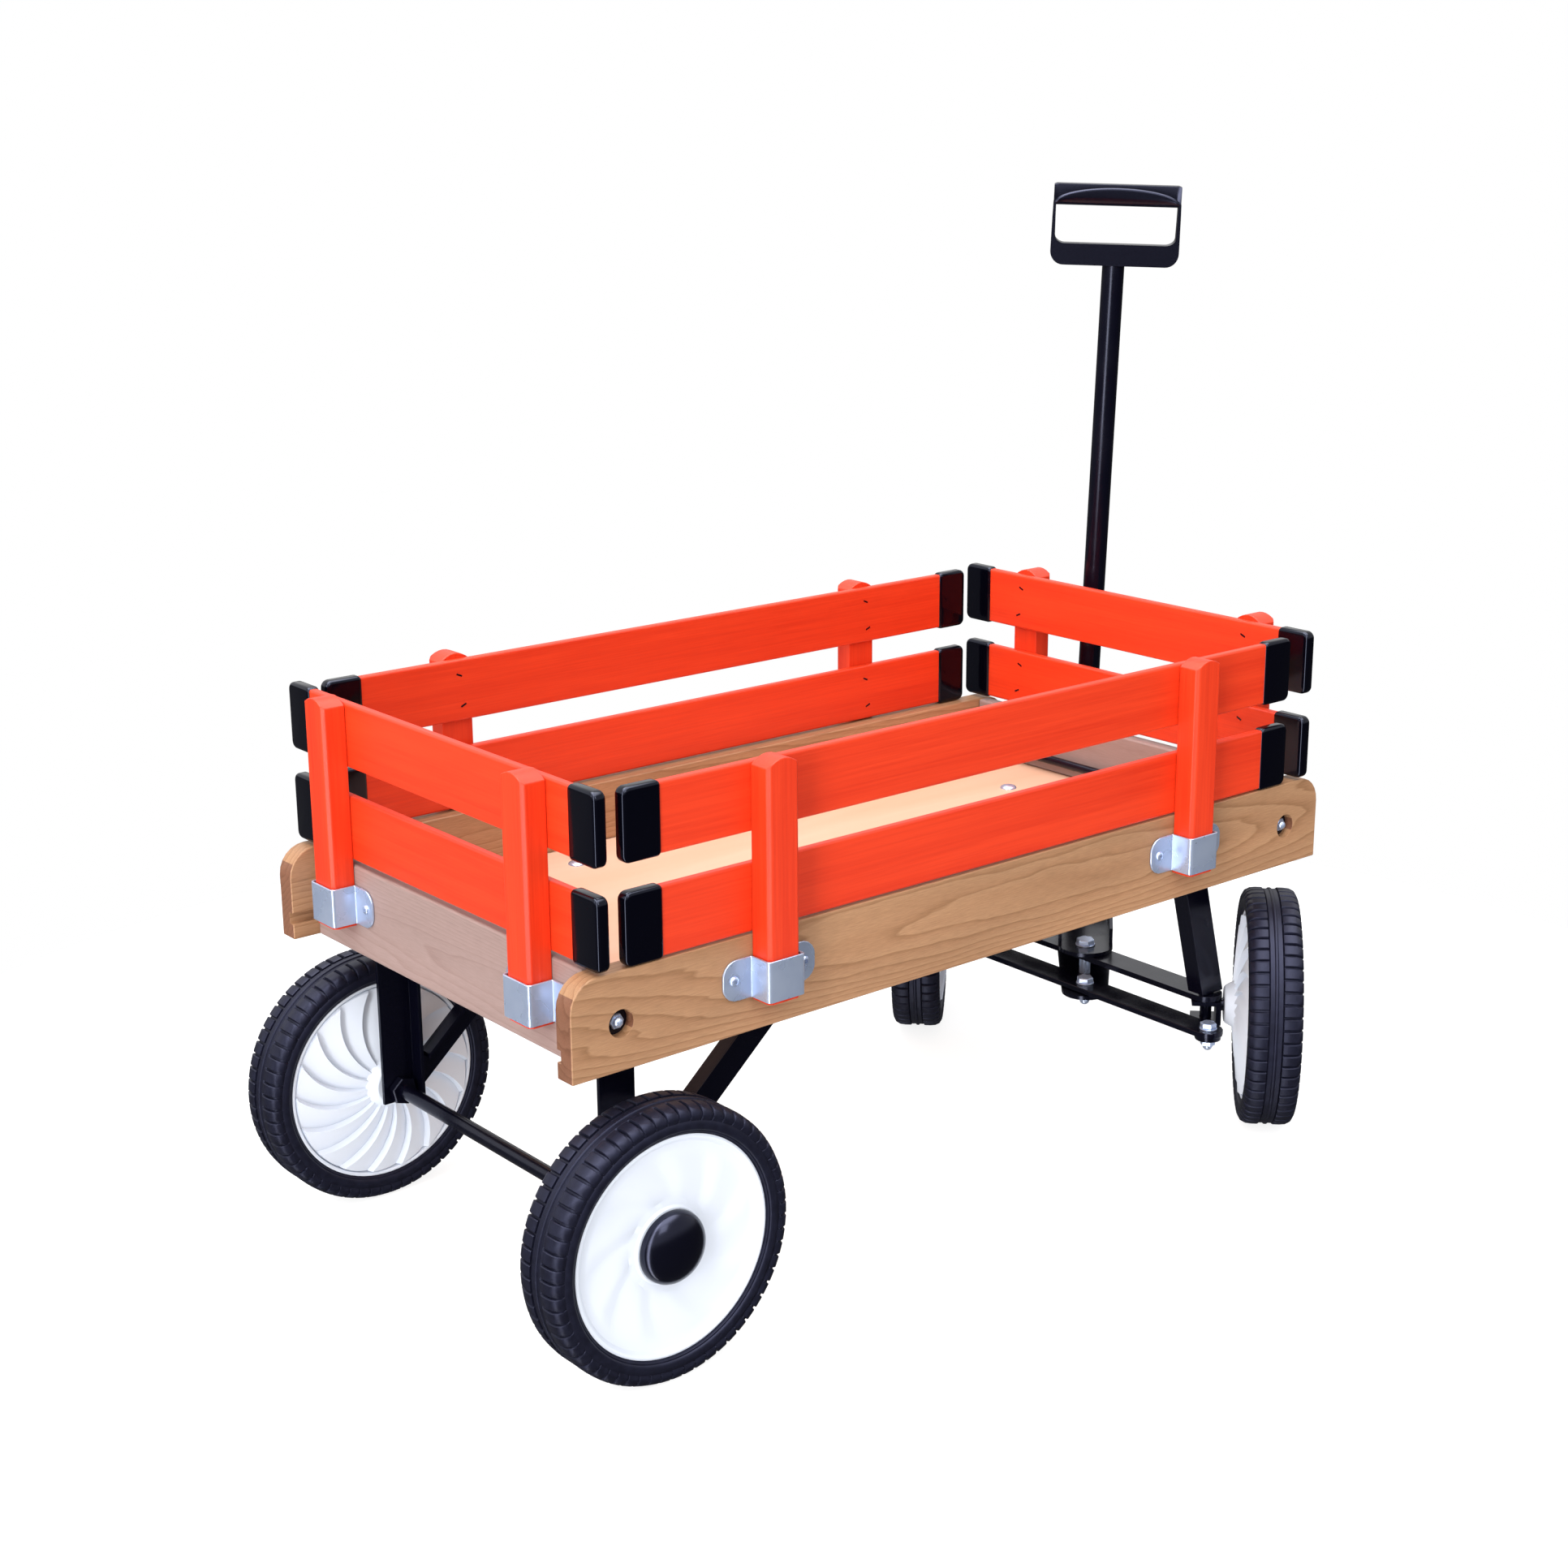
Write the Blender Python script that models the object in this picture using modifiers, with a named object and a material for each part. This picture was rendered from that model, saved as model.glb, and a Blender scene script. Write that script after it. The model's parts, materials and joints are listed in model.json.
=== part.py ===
"""Wooden stake wagon for small children, with removable slatted racks and a pull handle.

Metres. +X is forward, +Y is left, +Z is up, and the wheels stand on Z = 0.
The wagon is modelled with its front wheels turned left against their stop and its handle upright.
"""

from math import cos, pi, radians, sin, tan

import bmesh
import bpy
from mathutils import Matrix, Vector

# Wheels: 8 inch by 1 3/4 inch
WHEEL_R = 0.1016
TYRE_HALF = 0.0225
RIM_R = 0.0815
RIM_HALF = 0.0190
WHEEL_STEPS = 36
AXLE_R = 0.0060
HUB_BORE_R = 0.0064
HUB_R = 0.0155
HUB_INNER = 0.0360
CAP_R = 0.0268

# Bed: two side boards with the end boards and the floor panel between them
BED_L = 0.762
BED_W = 0.392
BED_Z = 0.234
BOARD_H = 0.071
BOARD_T = 0.0175
END_T = 0.0125
END_INSET = 0.0215
FLOOR_RISE = 0.012
FLOOR_T = 0.009
GROOVE_DEPTH = 0.005
CORNER_R = 0.022
ROD_X = 0.3405
ROD_RISE = 0.034
ROD_R = 0.004
SINK_R = 0.010
SINK_DEPTH = 0.009

# Racks: two slats on two stakes, dropped into strap brackets
SLAT_H = 0.0495
SLAT_T = 0.0075
SIDE_SLAT_HALF = 0.333
END_SLAT_HALF = 0.1982
SLAT_GAP = 0.0223
SIDE_SLAT_RISE = 0.0727
END_SLAT_RISE = 0.0750
STAKE_W = 0.028
STAKE_T = 0.0190
STAKE_Z = 0.2575
STAKE_OVER = -0.0020
SIDE_STAKE_X = 0.215
END_STAKE_Y = 0.131
BRACKET_T = 0.0016
BRACKET_H = 0.030
BRACKET_Z = 0.260
BRACKET_HALF = 0.041

# Undercarriage
AXLE_X = 0.313
AXLE_Z = WHEEL_R
REAR_WHEEL_Y = 0.1925
LEG_Y = 0.150
LEG_W = 0.030
BRACE_RISE = radians(41.5)
BRACE_W = 0.021
STEEL_T = 0.003
KINGPIN_Y = 0.143
SPINDLE_OUT = 0.0512
BEAM_W = 0.027
BEAM_T = 0.005
BEAM_Z = 0.107
ARM_Z = 0.086
ARM_T = 0.0035
ARM_LEN = 0.042
LINK_W = 0.025
LINK_T = 0.005

# Steering yoke and handle
STEER_REST = radians(44)
YOKE_HALF = 0.0245
HANDLE_FORWARD = 0.1254
HANDLE_Z = 0.132
POLE_SIDE = 0.0086       # the pole is welded left of the middle of its cross tube
POLE_LEAN = radians(1.75)
POLE_R = 0.0098
POLE_WALL = 0.0014
GRIP_LOW = 0.577        # up the pole, from the handle's bolt
GRIP_HIGH = 0.6468
GRIP_HALF_W = 0.0562
GRIP_HALF_T = 0.0115

GAP = 0.0003
CENTRE_X = 0.02139      # middle of the overall length, measured from the middle of the bed

for old in list(bpy.data.objects):
    bpy.data.objects.remove(old)

wagon = bpy.data.collections.new("wagon_with_pull_handle")
cutters = bpy.data.collections.new("cutters")
bpy.context.scene.collection.children.link(wagon)
bpy.context.scene.collection.children.link(cutters)


def finish(name, colour, roughness, metallic):
    made = bpy.data.materials.new(name)
    made.use_nodes = True
    shader = made.node_tree.nodes["Principled BSDF"]
    shader.inputs["Base Color"].default_value = (*colour, 1)
    shader.inputs["Roughness"].default_value = roughness
    shader.inputs["Metallic"].default_value = metallic
    return made


HARDWOOD = finish("oiled_hardwood", (0.43, 0.23, 0.13), 0.5, 0)
PLYWOOD = finish("birch_plywood", (0.72, 0.50, 0.34), 0.5, 0)
RED_PAINT = finish("red_painted_wood", (0.85, 0.05, 0.01), 0.4, 0)
ZINC = finish("zinc_plated_steel", (0.65, 0.70, 0.78), 0.3, 1)
BLACK_STEEL = finish("black_painted_steel", (0.01, 0.01, 0.013), 0.35, 0)
RUBBER = finish("black_rubber", (0.02, 0.02, 0.025), 0.7, 0)
WHITE_PLASTIC = finish("white_plastic", (0.85, 0.87, 0.92), 0.35, 0)
BLACK_PLASTIC = finish("black_plastic", (0.012, 0.012, 0.016), 0.3, 0)


def place(name, mesh, material, parent=None):
    """Link a mesh as a named sub-part, smooth on its round faces and sharp on its corners."""
    mesh.materials.clear()
    mesh.materials.append(material)
    mesh.shade_smooth()
    mesh.set_sharp_from_angle(angle=radians(35))
    part = bpy.data.objects.new(name, mesh)
    part.parent = parent
    wagon.objects.link(part)
    return part


def block_mesh(low, high, bevel=0.0, segments=1):
    """A box between two corners, with every edge eased by the bevel."""
    low, high = Vector(low), Vector(high)
    bm = bmesh.new()
    size = high - low
    bmesh.ops.create_cube(bm, size=1, matrix=Matrix.Translation((low + high) / 2) @ Matrix.Diagonal((*size, 1)))
    if bevel:
        bmesh.ops.bevel(bm, geom=bm.edges[:], offset=bevel, segments=segments, profile=0.5, affect="EDGES")
    mesh = bpy.data.meshes.new("block")
    bm.to_mesh(mesh)
    bm.free()
    return mesh


def rod_mesh(start, end, radius, steps=20):
    """A solid round bar from one point to another."""
    start, end = Vector(start), Vector(end)
    along = end - start
    turn = along.to_track_quat("Z", "Y").to_matrix().to_4x4()
    bm = bmesh.new()
    bmesh.ops.create_cone(
        bm, cap_ends=True, segments=steps, radius1=radius, radius2=radius, depth=along.length,
        matrix=Matrix.Translation((start + end) / 2) @ turn,
    )
    mesh = bpy.data.meshes.new("rod")
    bm.to_mesh(mesh)
    bm.free()
    return mesh


def arc(centre, radius, first, last, steps):
    """Points on an arc in a plane, angles in degrees."""
    angles = [radians(first + (last - first) * i / steps) for i in range(steps + 1)]
    return [(centre[0] + radius * cos(a), centre[1] + radius * sin(a)) for a in angles]


def plate_mesh(outlines, thickness, turn):
    """A flat plate cut to closed outlines, extruded about its own plane, then turned into place."""
    flat = bpy.data.curves.new("outline", "CURVE")
    flat.dimensions = "2D"
    flat.fill_mode = "BOTH"
    flat.extrude = thickness / 2
    for points in outlines:
        spline = flat.splines.new("POLY")
        spline.points.add(len(points) - 1)
        for point, (u, v) in zip(spline.points, points):
            point.co = (u, v, 0, 1)
        spline.use_cyclic_u = True
    helper = bpy.data.objects.new("outline", flat)
    bpy.context.scene.collection.objects.link(helper)
    mesh = bpy.data.meshes.new_from_object(helper.evaluated_get(bpy.context.evaluated_depsgraph_get()))
    bpy.data.objects.remove(helper)
    bm = bmesh.new()
    bm.from_mesh(mesh)
    bmesh.ops.remove_doubles(bm, verts=bm.verts, dist=0.00001)
    bmesh.ops.transform(bm, matrix=turn, verts=bm.verts)
    bmesh.ops.recalc_face_normals(bm, faces=bm.faces)
    bm.to_mesh(mesh)
    bm.free()
    return mesh


def turned(name, profile, material, parent, matrix, steps):
    """A turned piece: a profile of (radius, height) points swept about the matrix's Z axis."""
    mesh = bpy.data.meshes.new(name)
    bm = bmesh.new()
    points = [bm.verts.new((r, 0, z)) for r, z in profile]
    closed = profile[0][0] > 0.0001
    for first, second in zip(points, points[1:] + points[:1] if closed else points[1:]):
        bm.edges.new((first, second))
    bm.to_mesh(mesh)
    bm.free()
    part = place(name, mesh, material, parent)
    part.matrix_basis = matrix
    screw = part.modifiers.new("turn", "SCREW")
    screw.steps = screw.render_steps = steps
    screw.use_merge_vertices = True
    screw.merge_threshold = 0.00005
    screw.use_smooth_shade = True
    return part


def cut(part, mesh, operation="DIFFERENCE", matrix=None):
    """Cut the part with a tool body, or join the body to it."""
    tool = bpy.data.objects.new(part.name + "_tool", mesh)
    tool.parent = part.parent
    tool.matrix_basis = matrix or Matrix()
    tool.hide_render = True
    tool.display_type = "WIRE"
    cutters.objects.link(tool)
    boolean = part.modifiers.new("boolean", "BOOLEAN")
    boolean.operation = operation
    boolean.object = tool
    return part


def join(part, mesh, matrix=None):
    return cut(part, mesh, "UNION", matrix)


UPRIGHT = Matrix.Rotation(pi / 2, 4, "X")      # an outline's (u, v) becomes (X, Z)
ACROSS = Matrix.Rotation(pi / 2, 4, "Z") @ UPRIGHT   # an outline's (u, v) becomes (Y, Z)

board_outer = BED_W / 2
board_inner = board_outer - BOARD_T
board_top = BED_Z + BOARD_H
floor_z = BED_Z + FLOOR_RISE
end_outer = BED_L / 2 - END_INSET
end_inner = end_outer - END_T

# Side boards: rounded upper corners, a floor groove and sunk holes for the cross rods
for side, tag in ((-1, "right"), (1, "left")):
    half = BED_L / 2
    outline = (
        [(-half, BED_Z), (half, BED_Z)]
        + arc((half - CORNER_R, board_top - CORNER_R), CORNER_R, 0, 90, 6)
        + arc((-half + CORNER_R, board_top - CORNER_R), CORNER_R, 90, 180, 6)
    )
    middle = side * (board_outer - BOARD_T / 2)
    mesh = plate_mesh([outline], BOARD_T, Matrix.Translation((0, middle, 0)) @ UPRIGHT)
    board = place("side_board_" + tag, mesh, HARDWOOD)
    ease = board.modifiers.new("eased_edges", "BEVEL")
    ease.width = 0.0020
    ease.limit_method = "ANGLE"
    ease.angle_limit = radians(50)
    groove_y = sorted((side * (board_inner + GROOVE_DEPTH), side * (board_inner - 0.01)))
    cut(board, block_mesh((-half - 0.01, groove_y[0], floor_z), (half + 0.01, groove_y[1], floor_z + FLOOR_T + GAP)))
    for x in (-ROD_X, ROD_X):
        at = (x, side * (board_outer + 0.01), BED_Z + ROD_RISE)
        cut(board, rod_mesh(at, (x, side * (board_outer - SINK_DEPTH), BED_Z + ROD_RISE), SINK_R, 24))
        cut(board, rod_mesh(at, (x, side * (board_inner - 0.01), BED_Z + ROD_RISE), ROD_R + GAP, 16))

# End boards, between the side boards and set in from their ends
for end, tag in ((-1, "rear"), (1, "front")):
    x = sorted((end * end_outer, end * end_inner))
    y = board_inner - GAP
    board = place("end_board_" + tag, block_mesh((x[0], -y, BED_Z), (x[1], y, board_top), 0.0015), HARDWOOD)
    groove_x = sorted((end * (end_inner - 0.01), end * (end_inner + 0.004)))
    cut(board, block_mesh((groove_x[0], -y - 0.01, floor_z), (groove_x[1], y + 0.01, floor_z + FLOOR_T + GAP)))

# Floor panel: its edges are planed down a little to enter the grooves
floor_x = end_inner + 0.004 - GAP
floor_y = board_inner + GROOVE_DEPTH - GAP
bm = bmesh.new()
rows = []
for inset, z in ((0, floor_z + GAP), (0, floor_z + FLOOR_T - 0.0012), (GROOVE_DEPTH + 0.001, floor_z + FLOOR_T)):
    x, y = floor_x - inset, floor_y - inset
    rows.append([bm.verts.new((u * x, v * y, z)) for u, v in ((-1, -1), (1, -1), (1, 1), (-1, 1))])
for lower, upper in zip(rows, rows[1:]):
    for i in range(4):
        bm.faces.new((lower[i], lower[(i + 1) % 4], upper[(i + 1) % 4], upper[i]))
bm.faces.new(rows[0][::-1])
bm.faces.new(rows[-1])
panel = bpy.data.meshes.new("panel")
bm.to_mesh(panel)
bm.free()
place("floor_panel", panel, PLYWOOD)

# Cross rods that clamp the side boards, with a domed nut sunk at each end
nut_face = board_outer - SINK_DEPTH + GAP
for end, tag in ((-1, "rear"), (1, "front")):
    dome = [(0.0068 * cos(radians(a)), nut_face + 0.0042 + 0.0040 * sin(radians(a))) for a in (0, 30, 60)]
    half_profile = [(0.0068, nut_face), *dome, (0.0, nut_face + 0.0082)]
    profile = [(0.0, -half_profile[-1][1])] + [(r, -z) for r, z in reversed(half_profile[:-1])]
    profile += [(ROD_R, -nut_face), (ROD_R, nut_face)] + half_profile
    turn = Matrix.Translation((end * ROD_X, 0, BED_Z + ROD_RISE)) @ Matrix.Rotation(-pi / 2, 4, "X")
    turned("cross_rod_" + tag, profile[::-1], ZINC, None, turn, 20)


def stake(name, turn, slat_top):
    """An upright stake with a curved top and chamfered outer edges; its plan is (width, depth)."""
    half = STAKE_W / 2
    shoulder = slat_top + STAKE_OVER
    crown = [(half * (1 - i / 4), shoulder + 0.006 * (1 - ((1 - i / 4) ** 2))) for i in range(9)]
    outline = [(-half, STAKE_Z), (half, STAKE_Z), *crown]
    mesh = plate_mesh([outline], STAKE_T, turn)
    bm = bmesh.new()
    bm.from_mesh(mesh)
    outward = turn.to_3x3() @ Vector((0, 0, 1))
    centre = turn.to_translation()
    bmesh.ops.dissolve_limit(bm, angle_limit=radians(1), verts=bm.verts, edges=bm.edges)
    tall = [
        e for e in bm.edges
        if abs(e.verts[0].co.z - e.verts[1].co.z) > 0.1 and e.calc_face_angle(0) > radians(60)
        and (e.verts[0].co - centre).dot(outward) > 0 and (e.verts[1].co - centre).dot(outward) > 0
    ]
    bmesh.ops.bevel(bm, geom=tall, offset=0.0028, segments=1, profile=0.5, affect="EDGES")
    bm.to_mesh(mesh)
    bm.free()
    return place(name, mesh, RED_PAINT)


def bracket(name, turn):
    """A strap bent to a hat shape: a pocket round the stake and two flanges on the board."""
    inner = STAKE_W / 2 + 2 * GAP
    depth = STAKE_T + 3 * GAP
    t = BRACKET_T
    face = GAP
    outline = [
        (-BRACKET_HALF, face), (-inner - t * 0.4, face), (-inner, face + 0.001),
        (-inner, depth), (inner, depth), (inner, face + 0.001), (inner + t * 0.4, face), (BRACKET_HALF, face),
        (BRACKET_HALF, face + t), (inner + t, face + t), (inner + t, depth + t),
        (-inner - t, depth + t), (-inner - t, face + t), (-BRACKET_HALF, face + t),
    ]
    mesh = plate_mesh([outline], BRACKET_H, turn)
    bm = bmesh.new()
    bm.from_mesh(mesh)
    local = turn.inverted()
    tips = [
        e for e in bm.edges
        if all(abs(abs((local @ v.co).x) - BRACKET_HALF) < 0.0001 for v in e.verts)
        and abs((local @ e.verts[0].co).z - (local @ e.verts[1].co).z) < 0.0001
    ]
    bmesh.ops.bevel(bm, geom=tips, offset=0.010, segments=4, profile=0.5, affect="EDGES")
    bm.to_mesh(mesh)
    bm.free()
    return place(name, mesh, ZINC)


def rack(tag, along, out, face, slat_half, stake_at, slat_rise):
    """A rack on one side of the bed; along and out are unit vectors, face is the board's outer face."""
    up = Vector((0, 0, 1))
    basis = Matrix((along, out, up)).transposed().to_4x4()
    for level, number in (("lower", 0), ("upper", 1)):
        z = BED_Z + slat_rise + number * (SLAT_H + SLAT_GAP)
        low = (-slat_half, face - SLAT_T, z)
        mesh = block_mesh(low, (slat_half, face, z + SLAT_H), 0.0012)
        mesh.transform(basis)
        if basis.determinant() < 0:
            mesh.flip_normals()
        place("slat_" + tag + "_" + level, mesh, RED_PAINT)
    slat_top = BED_Z + slat_rise + 2 * SLAT_H + SLAT_GAP
    for at in (-stake_at, stake_at):
        where = at * along
        name = tag + ("_rear" if where.x < -0.2 and abs(along.x) else "_front" if abs(along.x) else
                      "_right" if where.y < 0 else "_left")
        wall = Matrix((along, up, out)).transposed().to_4x4()
        centre = where + out * (face + GAP + STAKE_T / 2)
        stake("stake_" + name, Matrix.Translation(centre) @ wall, slat_top)
        plan = Matrix((along, out, along.cross(out))).transposed().to_4x4()
        seat = where + out * face + up * (BRACKET_Z + BRACKET_H / 2)
        bracket("bracket_" + name, Matrix.Translation(seat) @ plan)


X, Y = Vector((1, 0, 0)), Vector((0, 1, 0))
rack("right", X, -Y, board_outer, SIDE_SLAT_HALF, SIDE_STAKE_X, SIDE_SLAT_RISE)
rack("left", -X, Y, board_outer, SIDE_SLAT_HALF, SIDE_STAKE_X, SIDE_SLAT_RISE)
rack("rear", -Y, -X, end_outer, END_SLAT_HALF, END_STAKE_Y, END_SLAT_RISE)
rack("front", Y, X, end_outer, END_SLAT_HALF, END_STAKE_Y, END_SLAT_RISE)


def pivot(name, x, y, angle=0.0):
    """An empty on a vertical joint axis; what it carries is modelled straight ahead and turned with it."""
    empty = bpy.data.objects.new(name, None)
    empty.location = (x, y, 0)
    empty.rotation_euler.z = angle
    wagon.objects.link(empty)
    return empty


def wheel(tag, parent, y, out):
    """Tyre, plastic disc and hub cap about an axis along Y at the height of the axle."""
    turn = Matrix.Translation((0, y, AXLE_Z)) @ Matrix.Rotation(-out * pi / 2, 4, "X")
    tread = WHEEL_R
    tyre = [
        (RIM_R + GAP, RIM_HALF), (0.0850, 0.0222), (0.0905, TYRE_HALF), (0.0970, 0.0212), (0.1000, 0.0175),
        (0.1009, 0.0100), (tread, 0.0), (0.1009, -0.0100), (0.1000, -0.0175), (0.0970, -0.0212),
        (0.0905, -TYRE_HALF), (0.0850, -0.0222), (RIM_R + GAP, -RIM_HALF),
    ]
    turned("tyre_" + tag, tyre, RUBBER, parent, turn, WHEEL_STEPS)
    disc = [
        (RIM_R, RIM_HALF), (RIM_R, -RIM_HALF), (RIM_R - 0.0035, -RIM_HALF), (RIM_R - 0.0050, 0.0100),
        (HUB_R + 0.010, 0.0090), (HUB_R + 0.004, -0.0100), (HUB_R, -HUB_INNER), (HUB_BORE_R, -HUB_INNER),
        (HUB_BORE_R, 0.0160), (0.050, 0.0155), (0.074, 0.0150), (RIM_R - 0.0030, RIM_HALF),
    ]
    turned("wheel_disc_" + tag, disc, WHITE_PLASTIC, parent, turn, WHEEL_STEPS)
    cap_base = 0.0165
    dome = [(CAP_R * cos(radians(a)), cap_base + 0.003 + 0.0125 * sin(radians(a))) for a in (75, 60, 40, 20, 0)]
    hollow = [(CAP_R - 0.002, cap_base), (CAP_R - 0.004, cap_base + 0.004), (0.0110, 0.0285), (0.0, 0.0295)]
    turned("hub_cap_" + tag, [(0.0, cap_base + 0.0155), *dome, (CAP_R, cap_base), *hollow], BLACK_PLASTIC, parent, turn, 28)


# Rear axle group: cross angle under the floor, two legs with braces, and a fixed through axle
under = floor_z
for side, tag in ((-1, "right"), (1, "left")):
    outer, inner = side * LEG_Y, side * (LEG_Y - STEEL_T)
    y = sorted((outer, inner))
    leg_x = (-AXLE_X - LEG_W / 2, -AXLE_X + LEG_W / 2)
    low_z = AXLE_Z - 0.010
    leg = place(
        "rear_leg_" + tag,
        block_mesh((leg_x[0], y[0], low_z), (leg_x[1], y[1], under - STEEL_T - 2 * GAP)), BLACK_STEEL)
    rib = sorted((outer - side * 0.0005, side * (LEG_Y - 0.016)))
    rib_low, rib_high = low_z + 0.0005, under - STEEL_T - 3 * GAP
    join(leg, block_mesh((leg_x[1] - STEEL_T, rib[0], rib_low), (leg_x[1] - 0.0002, rib[1], rib_high)))
    # The brace is a lighter angle from the foot of the leg up to a tab under the floor
    slope, drop, head = tan(BRACE_RISE), BRACE_W / cos(BRACE_RISE), under - 0.001 - 2 * GAP
    foot_x, foot_z = -0.301, 0.1230
    head_x = foot_x + (head - foot_z) / slope
    corner = [(foot_x, foot_z), (head_x, head - 0.0010)]
    bar = [(foot_x, foot_z - drop), (head_x + drop / slope, head - 0.0010), corner[1], corner[0]]
    bar_y = side * (LEG_Y - STEEL_T * 1.5 + 0.0001)
    join(leg, plate_mesh([bar], STEEL_T, Matrix.Translation((0, bar_y, 0)) @ UPRIGHT))
    lip = [(foot_x + 0.0080, foot_z + 0.0068), (head_x - 0.0012, head - 0.0016),
           (head_x + 0.0026, head - 0.0016), (foot_x + 0.0080, foot_z + 0.0034)]
    join(leg, plate_mesh([lip], 0.012, Matrix.Translation((0, side * (LEG_Y - 0.0100), 0)) @ UPRIGHT))
    tab_y = sorted((side * (LEG_Y - STEEL_T - 0.0002), side * (LEG_Y - 0.028)))
    tab_x = (head_x - 0.0010, head_x + drop / slope + 0.0120)
    join(leg, block_mesh((tab_x[0], tab_y[0], head - 0.0042), (tab_x[1], tab_y[1], head - 0.0002)))
    cut(leg, rod_mesh((-AXLE_X, side * 0.1, AXLE_Z), (-AXLE_X, side * 0.2, AXLE_Z), AXLE_R + GAP, 20))

channel = place(
    "rear_cross_angle",
    block_mesh((-AXLE_X - 0.019, -LEG_Y, under - STEEL_T - GAP), (-AXLE_X + 0.019, LEG_Y, under - GAP)), BLACK_STEEL)
join(channel, block_mesh(
    (-AXLE_X - 0.019, -LEG_Y + 0.004, under - 0.024), (-AXLE_X - 0.0165, LEG_Y - 0.004, under - STEEL_T)))
axle_end = REAR_WHEEL_Y + RIM_HALF + 0.004
place("rear_axle", rod_mesh((-AXLE_X, -axle_end, AXLE_Z), (-AXLE_X, axle_end, AXLE_Z), AXLE_R, 20), BLACK_STEEL)
rear_pivot = pivot("rear_axle_axis", -AXLE_X, 0)
wheel("rear_right", rear_pivot, -REAR_WHEEL_Y, -1)
wheel("rear_left", rear_pivot, REAR_WHEEL_Y, 1)

# Front axle group: cross angle, two raked legs that carry the kingpins, and a fixed beam
beam_top = BEAM_Z + BEAM_T
rake = 0.258
for side, tag in ((-1, "right"), (1, "left")):
    top_z, foot_z = under - STEEL_T - 2 * GAP, beam_top + GAP

    def leg_x(z, offset):
        return AXLE_X - rake * (z - foot_z) + offset

    broad = [(leg_x(foot_z, -0.013), foot_z + 0.0007), (leg_x(foot_z, 0.013), foot_z + 0.0007),
             (leg_x(top_z, 0.013), top_z), (leg_x(top_z, -0.013), top_z)]
    edge = [(leg_x(foot_z, -0.013) + 0.0003, foot_z + 0.0012), (leg_x(foot_z, -0.010), foot_z + 0.0012),
            (leg_x(top_z, -0.010), top_z - 0.0005), (leg_x(top_z, -0.013) + 0.0003, top_z - 0.0005)]
    leg = place(
        "front_leg_" + tag,
        plate_mesh([broad], STEEL_T, Matrix.Translation((0, side * (LEG_Y - STEEL_T / 2), 0)) @ UPRIGHT),
        BLACK_STEEL)
    join(leg, plate_mesh([edge], 0.016, Matrix.Translation((0, side * (LEG_Y - 0.0085), 0)) @ UPRIGHT))
    pin_y = side * KINGPIN_Y
    join(leg, rod_mesh((AXLE_X, pin_y, foot_z + 0.012), (AXLE_X, pin_y, foot_z), 0.0066, 20))
    join(leg, rod_mesh((AXLE_X, pin_y, foot_z + 0.004), (AXLE_X, pin_y, ARM_Z - 0.004), 0.005, 20))
    join(leg, rod_mesh((AXLE_X, pin_y, ARM_Z - GAP), (AXLE_X, pin_y, ARM_Z - 0.0075), 0.0085, 20))

channel = place(
    "front_cross_angle",
    block_mesh((0.262, -LEG_Y, under - STEEL_T - GAP), (0.296, LEG_Y, under - GAP)), BLACK_STEEL)
join(channel, block_mesh((0.2622, -LEG_Y + 0.018, under - 0.024), (0.2650, LEG_Y - 0.018, under - STEEL_T)))
outline = arc((KINGPIN_Y, 0), BEAM_W / 2, -90, 90, 10) + arc((-KINGPIN_Y, 0), BEAM_W / 2, 90, 270, 10)
lay = Matrix.Translation((AXLE_X, 0, BEAM_Z + BEAM_T / 2)) @ Matrix.Rotation(pi / 2, 4, "Z")
beam = place("front_beam", plate_mesh([outline], BEAM_T, lay), BLACK_STEEL)
for y in (-KINGPIN_Y, 0, KINGPIN_Y):
    cut(beam, rod_mesh((AXLE_X, y, BEAM_Z - 0.01), (AXLE_X, y, beam_top + 0.01), 0.005 + GAP, 20))

# Steering knuckles: a bracket round the beam's end, with a spindle outside and an arm behind
for side, tag in ((-1, "right"), (1, "left")):
    carrier = pivot("kingpin_axis_" + tag, AXLE_X, side * KINGPIN_Y, STEER_REST)
    half = 0.0125
    web = sorted((side * 0.0080, side * 0.0125))
    knuckle = place(
        "knuckle_" + tag,
        block_mesh((-half, web[0], ARM_Z), (half, web[1], BEAM_Z - GAP)), BLACK_STEEL, carrier)
    flange = sorted((-side * 0.0125, side * 0.0110))
    for z in (ARM_Z + 0.0001, BEAM_Z - GAP - ARM_T):
        join(knuckle, block_mesh((-half + 0.0002, flange[0], z), (half - 0.0002, flange[1], z + ARM_T - 0.0001)))
    arm_end = arc((-ARM_LEN, 0), 0.0110, 90, 270, 8)
    arm = [(-0.006, 0.0110), *arm_end, (-0.006, -0.0110)]
    join(knuckle, plate_mesh([arm], ARM_T - 0.0002, Matrix.Translation((0, 0, ARM_Z + ARM_T / 2))))
    spindle_tip = side * (SPINDLE_OUT + RIM_HALF + 0.004)
    spindle_z = AXLE_Z - 0.0006
    join(knuckle, rod_mesh((0, side * 0.0110, spindle_z), (0, side * 0.0150, spindle_z), 0.0054, 20))
    join(knuckle, rod_mesh((0, side * 0.0142, AXLE_Z), (0, spindle_tip, AXLE_Z), AXLE_R, 20))
    cut(knuckle, rod_mesh((0, 0, ARM_Z - 0.01), (0, 0, beam_top + 0.02), 0.005 + GAP, 20))
    wheel("front_" + tag, carrier, side * SPINDLE_OUT, side)

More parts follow.
